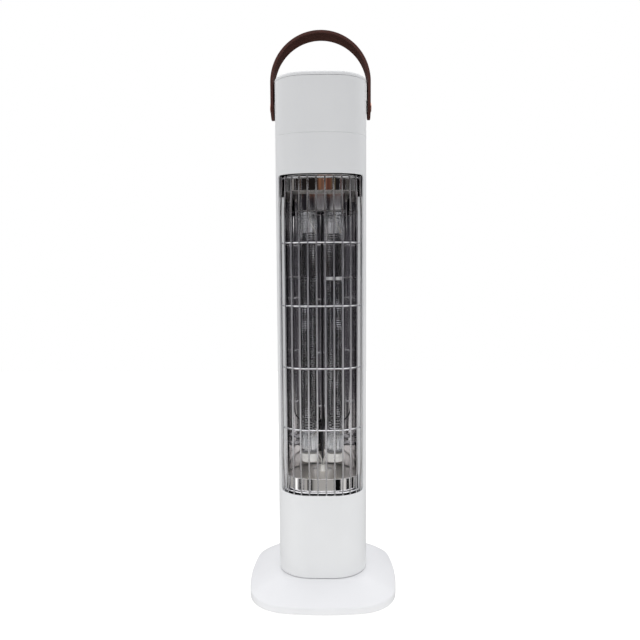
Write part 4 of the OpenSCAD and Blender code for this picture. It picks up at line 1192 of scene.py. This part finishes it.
# ceramic end pieces
a = Acc()
b = Acc()
for x in (-15.6, 15.6):
    lathe(a, [(0, 162.0), (11.3, 162.0, 0.7), (11.3, 166.4, 0.25), (10.7, 166.8, 0.25), (10.7, 167.6, 0.25), (11.3, 168.0, 0.25), (11.3, 172.4, 0.7), (6.95, 172.4, 0.3), (6.95, 177.6, 0.6), (0, 177.6)],
          56, 0.3, False, (x, -12, 0), fseg=4)
    lathe(b, [(0, 469.6), (6.95, 469.6, 0.6), (6.95, 475.0, 0.3), (11.3, 475.0, 0.7), (11.3, 479.3, 0.25), (10.7, 479.7, 0.25), (10.7, 480.5, 0.25), (11.3, 480.9, 0.25), (11.3, 485.5, 0.7), (0, 485.5)],
          56, 0.3, False, (x, -12, 0), fseg=4)
a.obj("lower_ceramic_caps", M["ceramic"], "column", "ceramic", ("lower_ceramics",))
b.obj("upper_ceramic_caps", M["ceramic"], "column", "ceramic", ("upper_ceramics",))

# clip round the right-hand tube, with its stay to the reflector
a = Acc()
th = np.linspace(-82, 262, 60)
P = np.array([(15.6 + 11.1 * math.cos(math.radians(t)), -12 + 11.1 * math.sin(math.radians(t)), 390.0) for t in th])
V, W, F = [], [], []
for i, t in enumerate(th):
    c, sn = math.cos(math.radians(t)), math.sin(math.radians(t))
    for (pr, pz), (nr, nz) in zip([(0.45, -1.7), (0.45, 1.7), (0.3, 2.0), (-0.3, 2.0), (-0.45, 1.7), (-0.45, -1.7), (-0.3, -2.0), (0.3, -2.0)], pn):
        V.append((15.6 + (11.1 + pr) * c, -12 + (11.1 + pr) * sn, 390.0 + pz))
        W.append((nr * c, nr * sn, nz))
F = grid_faces(len(th), 8, False, True) + [tuple(range(8)), tuple(range((len(th) - 1) * 8, len(th) * 8))]
a.add(V, W, F)
for t in (-82, 262):   # the two ends turn outwards at the front
    c, sn = math.cos(math.radians(t)), math.sin(math.radians(t))
    plate(a, [rrect(-1.9, 388.0, 1.9, 392.0, 0.8)], flat_surf((15.6 + 12.2 * c + (0.9 if t < 0 else -0.9), -12 + 12.2 * sn, 0), (0.35 if t < 0 else -0.35, -0.94, 0), (0, 0, 1), (0.94, 0.35 if t < 0 else -0.35, 0) if t < 0 else (-0.94, 0.35, 0)), 0.7, 0.15, (1, 1))
sweep(a, soft_path([(13.1, -1.2, 390.0), (13.1, 6.0, 390.0), (13.1, 11.5, 390.0)], 2, 4, 3.0), 0.9, 12)
a.obj("tube_spring_clip", M["clip"], "column", "chrome_wire", ("tube_clip",))

# bushing, leads and floor screws
a = Acc()
lathe(a, [(1.75, 144.0), (2.5, 144.0), (2.5, FZ + 0.05), (4.2, FZ + 0.05, 0.4), (4.2, FZ + 1.4, 0.4), (2.9, FZ + 1.7, 0.3), (2.6, FZ + 8.0, 0.4), (1.75, FZ + 8.0, 0.2)], 40, 0.2, True, (0.5, -14, 0), fseg=4)
a.obj("floor_bushing", M["ceramic"], "column", "ceramic", ("lead_bushing",))
a = Acc()
sweep(a, soft_path([(0.2, -14, 139.5), (0.2, -14, 160), (0.1, -13.4, 176), (-0.4, -10, 194), (0.2, 6.8, 208), (0.2, 9, 216), (0.2, 9, 488)], 6, 8, 6.0), 0.95, 12, False, 0)
sweep(a, soft_path([(1.4, -14.3, 152.0), (1.5, -14.6, 163), (3.1, -16.2, 168), (4.6, -14.5, 170.5)], 3, 6, 3.0), 0.7, 10, False, 1)
sweep(a, soft_path([(-0.4, -14.3, 152.0), (-0.8, -14.8, 163), (-2.6, -16.2, 168), (-4.6, -14.5, 170.5)], 3, 6, 3.0), 0.7, 10, False, 1)
a.obj("lamp_leads", [M["sleeve_black"], M["sleeve_white"]], "column", "wire_sleeve", ("heater_leads",))
a = Acc()
for x in (-9, 9):
    screw(a, (x, -5, FZ), 2.4, 1.0, 1.1, 5.0, "z")
a.obj("floor_screws", M["steel"], "column", "steel")

# =====================================================================  stage, camera and light
fl = bpy.data.meshes.new("floor")
fl.from_pydata([(-1.6, -0.6, 0), (1.6, -0.6, 0), (1.6, 1.6, 0), (-1.6, 1.6, 0)], [], [(0, 1, 2, 3)])
floor = bpy.data.objects.new("studio_floor", fl)
bpy.context.scene.collection.objects.link(floor)
mf = Mat("studio_floor_pale", (0.5, 0.5, 0.5), 0.9)
mf.b.inputs["Specular IOR Level"].default_value = 0.0
mf.color(mf.ramp(mf.noise(3.0, 2.0), [(0.3, (0.40, 0.40, 0.40)), (0.7, (0.41, 0.41, 0.41))]))
mf.b.inputs["Emission Color"].default_value = (1, 0.998, 0.978, 1)
mf.b.inputs["Emission Strength"].default_value = 0.80
fl.materials.append(mf.m)
floor.visible_glossy = False
floor.visible_transmission = False

f_px, D, zc, pitch, roll, yaw, pan = 660.0, 824.1716, 412.1579, 0.0903, -0.0057, -0.0159, -0.0029
c, s_ = math.cos(pitch), math.sin(pitch)
cp, sp = math.cos(pan), math.sin(pan)


def unyaw(v):
    x, y, z = v
    return Vector((x * math.cos(yaw) + y * math.sin(yaw), -x * math.sin(yaw) + y * math.cos(yaw), z))


right, up, fwd = Vector((cp, -sp, 0)), Vector((sp * s_, cp * s_, c)), Vector((sp * c, cp * c, -s_))
r2 = right * math.cos(roll) + up * math.sin(roll)
u2 = up * math.cos(roll) - right * math.sin(roll)
r2, u2, fwd = unyaw(r2), unyaw(u2), unyaw(fwd)
cam = bpy.data.cameras.new("camera")
cam.sensor_width = 36.0
cam.lens = f_px / 640.0 * 36.0
cam.clip_start, cam.clip_end = 0.05, 60.0
co = bpy.data.objects.new("camera", cam)
bpy.context.scene.collection.objects.link(co)
rot = Matrix((r2, u2, -fwd)).transposed().to_4x4()
co.matrix_world = Matrix.Translation(unyaw((0, -D, zc)) * 0.001) @ rot
bpy.context.scene.camera = co


def area(name, loc, target, size, power, color=(1, 1, 1), size_y=None, spec=1.0):
    L = bpy.data.lights.new(name, "AREA")
    L.shape = "RECTANGLE"
    L.size, L.size_y = size, size_y or size
    L.energy = power
    L.color = color
    L.specular_factor = spec
    o = bpy.data.objects.new(name, L)
    o.location = loc
    o.rotation_euler = (Vector(target) - Vector(loc)).to_track_quat("-Z", "Y").to_euler()
    bpy.context.scene.collection.objects.link(o)
    o.visible_glossy = False
    o.visible_transmission = False
    return o


def polar(az, r, z):
    a = math.radians(az)
    return (r * math.sin(a), -r * math.cos(a), z)


area("strip_left", polar(-52, 1.5, 0.78), (0, 0, 0.45), 0.12, 3.0, (1.0, 0.995, 0.985), 1.3)
area("strip_right", polar(47, 1.5, 0.78), (0, 0, 0.45), 0.10, 2.2, (0.985, 0.995, 1.0), 1.3)

w = bpy.data.worlds.new("studio")
bpy.context.scene.world = w
w.use_nodes = True
nt = w.node_tree
nt.nodes.clear()


def wn(kind, ins=(), **props):
    n = nt.nodes.new("ShaderNode" + kind)
    for k, v in props.items():
        setattr(n, k, v)
    for k, v in (ins.items() if hasattr(ins, "items") else enumerate(ins)):
        if hasattr(v, "is_output"):
            nt.links.new(v, n.inputs[k])
        else:
            n.inputs[k].default_value = v
    return n


def wramp(sock, stops, mode="LINEAR"):
    n = wn("ValToRGB", [sock])
    n.color_ramp.interpolation = mode
    e = n.color_ramp.elements
    while len(e) < len(stops):
        e.new(0.5)
    for k, (pos, col) in enumerate(stops):
        e[k].position = pos
        e[k].color = tuple(col) + (1,) if hasattr(col, "__len__") else (col, col, col, 1)
    return n.outputs["Color"]


def wmix(f, a, b):
    n = wn("MixRGB", blend_type="MIX")
    for k, v in enumerate((f, a, b)):
        if hasattr(v, "is_output"):
            nt.links.new(v, n.inputs[k])
        else:
            n.inputs[k].default_value = v if k == 0 else tuple(v) + (1,)
    return n.outputs["Color"]


lp = wn("LightPath")
tc = wn("TexCoord")
sep = wn("SeparateXYZ", [tc.outputs["Generated"]])
ny = wn("Math", [sep.outputs["Y"], -1.0], operation="MULTIPLY").outputs[0]
az = wn("Math", [sep.outputs["X"], ny], operation="ARCTAN2").outputs[0]
az01 = wn("MapRange", {"Value": az, "From Min": -PI, "From Max": PI}).outputs["Result"]
el01 = wn("MapRange", {"Value": sep.outputs["Z"], "From Min": -1.0, "From Max": 1.0}).outputs["Result"]


def A(deg):
    return 0.5 + deg / 360.0


def tone(v, warm=0.0):
    return (v * (1 + warm), v * (1 - 0.3 * abs(warm)), v * (1 - warm) * 1.03)


# what polished metal and glass see: a dim room with narrow soft lights to both sides, a pale ceiling, and the near part of the pale table
DK, DP, MD = (0.098, 0.092, 0.106), (0.020, 0.018, 0.023), (0.190, 0.183, 0.200)
SD, SB = (0.34, 0.34, 0.35), (0.72, 0.72, 0.74)
ring = wramp(az01, [(A(-179), SD), (A(-130), SD), (A(-112), SB), (A(-98), (0.34, 0.34, 0.35)), (A(-80), (0.05, 0.048, 0.05)), (A(-70), (0.50, 0.49, 0.50)), (A(-63), (0.16, 0.155, 0.16)),
                    (A(-50), DK), (A(-40), MD), (A(-28), DP), (A(-17), DK), (A(-11), (0.065, 0.062, 0.07)), (A(-5), DP), (A(-1.4), DP), (A(-0.7), (0.42, 0.41, 0.43)), (A(0.7), (0.42, 0.41, 0.43)), (A(1.4), DP), (A(12), (0.030, 0.028, 0.032)), (A(20), DP), (A(30), MD), (A(42), DP), (A(58), DK),
                    (A(66), (0.46, 0.45, 0.46)), (A(74), (0.15, 0.145, 0.15)), (A(84), (0.05, 0.048, 0.05)), (A(100), (0.36, 0.36, 0.37)), (A(114), SB), (A(132), SD), (A(179), SD)])
# higher up: nearly black, with a warm glow in the middle and a pale patch to each side
WM = (0.26, 0.11, 0.07)
top = wramp(az01, [(A(-179), SD), (A(-112), SB), (A(-98), (0.05, 0.05, 0.05)), (A(-80), (0.02, 0.018, 0.018)), (A(-74), (0.24, 0.23, 0.22)), (A(-68), (0.24, 0.23, 0.22)), (A(-63), (0.016, 0.013, 0.012)), (A(-42), (0.016, 0.013, 0.012)), (A(-34), (0.09, 0.06, 0.045)),
                   (A(-27), (0.014, 0.012, 0.012)), (A(-2.3), (0.012, 0.009, 0.008)), (A(-1.6), (0.20, 0.085, 0.045)), (A(-0.4), (0.26, 0.15, 0.10)), (A(0.2), (0.04, 0.02, 0.015)), (A(1.0), WM), (A(1.8), (0.30, 0.15, 0.11)), (A(2.6), (0.04, 0.018, 0.014)), (A(3.6), (0.22, 0.08, 0.05)), (A(4.8), (0.02, 0.012, 0.010)), (A(6.4), (0.17, 0.14, 0.085)), (A(7.6), (0.17, 0.14, 0.085)), (A(9), (0.012, 0.010, 0.010)),
                   (A(28), (0.014, 0.012, 0.012)), (A(33), (0.12, 0.04, 0.03)), (A(38), (0.02, 0.015, 0.014)), (A(55), (0.016, 0.013, 0.012)), (A(61), (0.07, 0.065, 0.06)), (A(68), (0.07, 0.065, 0.06)), (A(72), (0.02, 0.018, 0.018)), (A(98), (0.12, 0.12, 0.12)), (A(112), SB), (A(179), SD)])
# two tall narrow soft lights, each side of the front
def window(a0, a1, e0, e1, soft_az=1.0, soft_el=0.006):
    """A soft-edged patch between two azimuths and two heights (sines of the elevation)."""
    pa = wramp(az01, [(A(a0 - soft_az), 0.0), (A(a0), 1.0), (A(a1), 1.0), (A(a1 + soft_az), 0.0)])
    k0, k1 = (1 + e0) / 2, (1 + e1) / 2
    pe = wramp(el01, [(k0 - soft_el, 0.0), (k0, 1.0), (k1, 1.0), (k1 + soft_el, 0.0)])
    return wn("Math", [pa, pe], operation="MULTIPLY").outputs[0]


ring_hi = wmix(0.62, ring, (0.010, 0.009, 0.011))      # a dimmer band just above the middle
walls = wmix(wramp(el01, [(0.5490, 0.0), (0.5515, 1.0)]), wmix(wramp(el01, [(0.5180, 0.0), (0.5215, 1.0)]), ring, ring_hi), top)
room = wmix(wramp(el01, [(0.570, 0.0), (0.655, 0.30), (0.72, 1.0)]), walls, (2.1, 2.1, 2.12))
T1, T2, T3, BK, MG = (0.40, 0.39, 0.375), (1.20, 1.19, 1.17), (0.70, 0.69, 0.67), (0.004, 0.004, 0.004), (0.16, 0.15, 0.15)
# the table's far part and its near part, each with the dark gaps that show in the polished metal
far = wramp(az01, [(A(-179), T1), (A(-75), T1), (A(-62), T1), (A(-58), T3), (A(-53), T3), (A(-50), T1), (A(-46), T1), (A(-43.5), T2), (A(-41), T2), (A(-39), T3), (A(-35), T3), (A(-33), T2), (A(-30.5), T2), (A(-28.5), T1), (A(-25.5), T1), (A(-23.5), T2), (A(-20), T2),
                   (A(-18), BK), (A(-13), BK), (A(-9), MG), (A(-4), BK), (A(1), MG), (A(4), MG), (A(6), BK), (A(13), BK), (A(16), T3), (A(20), MG), (A(27), T1), (A(30), T2), (A(44), T2), (A(48), T1), (A(179), T1)])
near = wramp(az01, [(A(-179), T1), (A(-124), BK), (A(-103), BK), (A(-98), T1), (A(-80), T1), (A(-78), BK), (A(-74), BK), (A(-71), T2), (A(-56), T2), (A(-51), BK), (A(-40), BK), (A(-37), T1), (A(-14.5), T1), (A(-12.5), BK), (A(-6.2), BK), (A(-5.5), T1),
                    (A(5.7), T1), (A(6.0), T2), (A(6.2), T2), (A(6.4), BK), (A(26), BK), (A(29), T3), (A(57), T3), (A(59), BK), (A(69), BK), (A(71), T2), (A(82), T2), (A(85), BK), (A(94), BK), (A(97), T1), (A(108), T1), (A(110), BK)])
# the table ends some way in front, so only rays that dip steeply enough, for how far forward they go, meet it
fwd_y = wn("Math", [ny, 0.02], operation="MAXIMUM").outputs[0]
dip = wn("Math", [wn("Math", [sep.outputs["Z"], -1.0], operation="MULTIPLY").outputs[0], fwd_y], operation="DIVIDE").outputs[0]
dip01 = wn("MapRange", {"Value": dip, "From Min": 0.0, "From Max": 1.0}).outputs["Result"]
steep = wramp(el01, [(0.340, 1.0), (0.352, 0.0)])
below = wmix(wramp(dip01, [(0.205, 0.0), (0.238, 1.0)]), wmix(wramp(el01, [(0.440, 0.0), (0.470, 1.0)]), (0.070, 0.066, 0.074), ring), wmix(steep, far, near))
gl0 = wmix(wramp(el01, [(0.440, 0.0), (0.470, 1.0)]), below, room)
gl = wmix(window(-62, -49, -0.235, -0.020), gl0, (1.25, 1.24, 1.28))
gl = wmix(window(47, 64, -0.245, -0.030), gl, (1.25, 1.24, 1.28))
gl = wmix(window(-62, -30, -0.290, -0.250, 1.0, 0.004), gl, (1.5, 1.5, 1.52))
gl = wmix(window(33, 45, -0.290, -0.250, 1.0, 0.004), gl, (1.7, 1.7, 1.72))
gl = wmix(window(-59, -55, 0.046, 0.078, 0.8, 0.002), gl, (2.4, 2.4, 2.4))
gl = wmix(window(28, 34, 0.046, 0.078, 0.8, 0.002), gl, (2.2, 2.2, 2.2))
gl = wmix(window(23.5, 26.5, 0.046, 0.078, 0.5, 0.002), gl, (1.3, 1.3, 1.3))
gl = wmix(window(-1, 2, 0.046, 0.072, 0.5, 0.002), gl, (0.9, 0.9, 0.9))
soft = wramp(el01, [(0.0, (0.33, 0.33, 0.335)), (0.48, (0.33, 0.33, 0.335)), (0.52, (0.42, 0.425, 0.435)), (0.75, (0.62, 0.625, 0.64)), (1.0, (1.0, 1.0, 1.0))])
soft = wmix(wramp(el01, [(0.75, 0.0), (1.0, 1.0)]), soft, (1.36, 1.37, 1.41))
b_cam = wn("Background", {"Color": (1, 1, 1, 1), "Strength": 1.0})
b_gl = wn("Background", {"Color": gl, "Strength": 1.0})
b_soft = wn("Background", {"Color": soft, "Strength": 1.0})
sharp = wn("Math", [lp.outputs["Is Glossy Ray"], lp.outputs["Is Transmission Ray"]], operation="MAXIMUM").outputs[0]
m1 = wn("MixShader", [sharp, b_soft.outputs[0], b_gl.outputs[0]])
m2 = wn("MixShader", [lp.outputs["Is Camera Ray"], m1.outputs[0], b_cam.outputs[0]])
out = wn("OutputWorld", [m2.outputs[0]])
bpy.context.scene.view_settings.view_transform = "Standard"
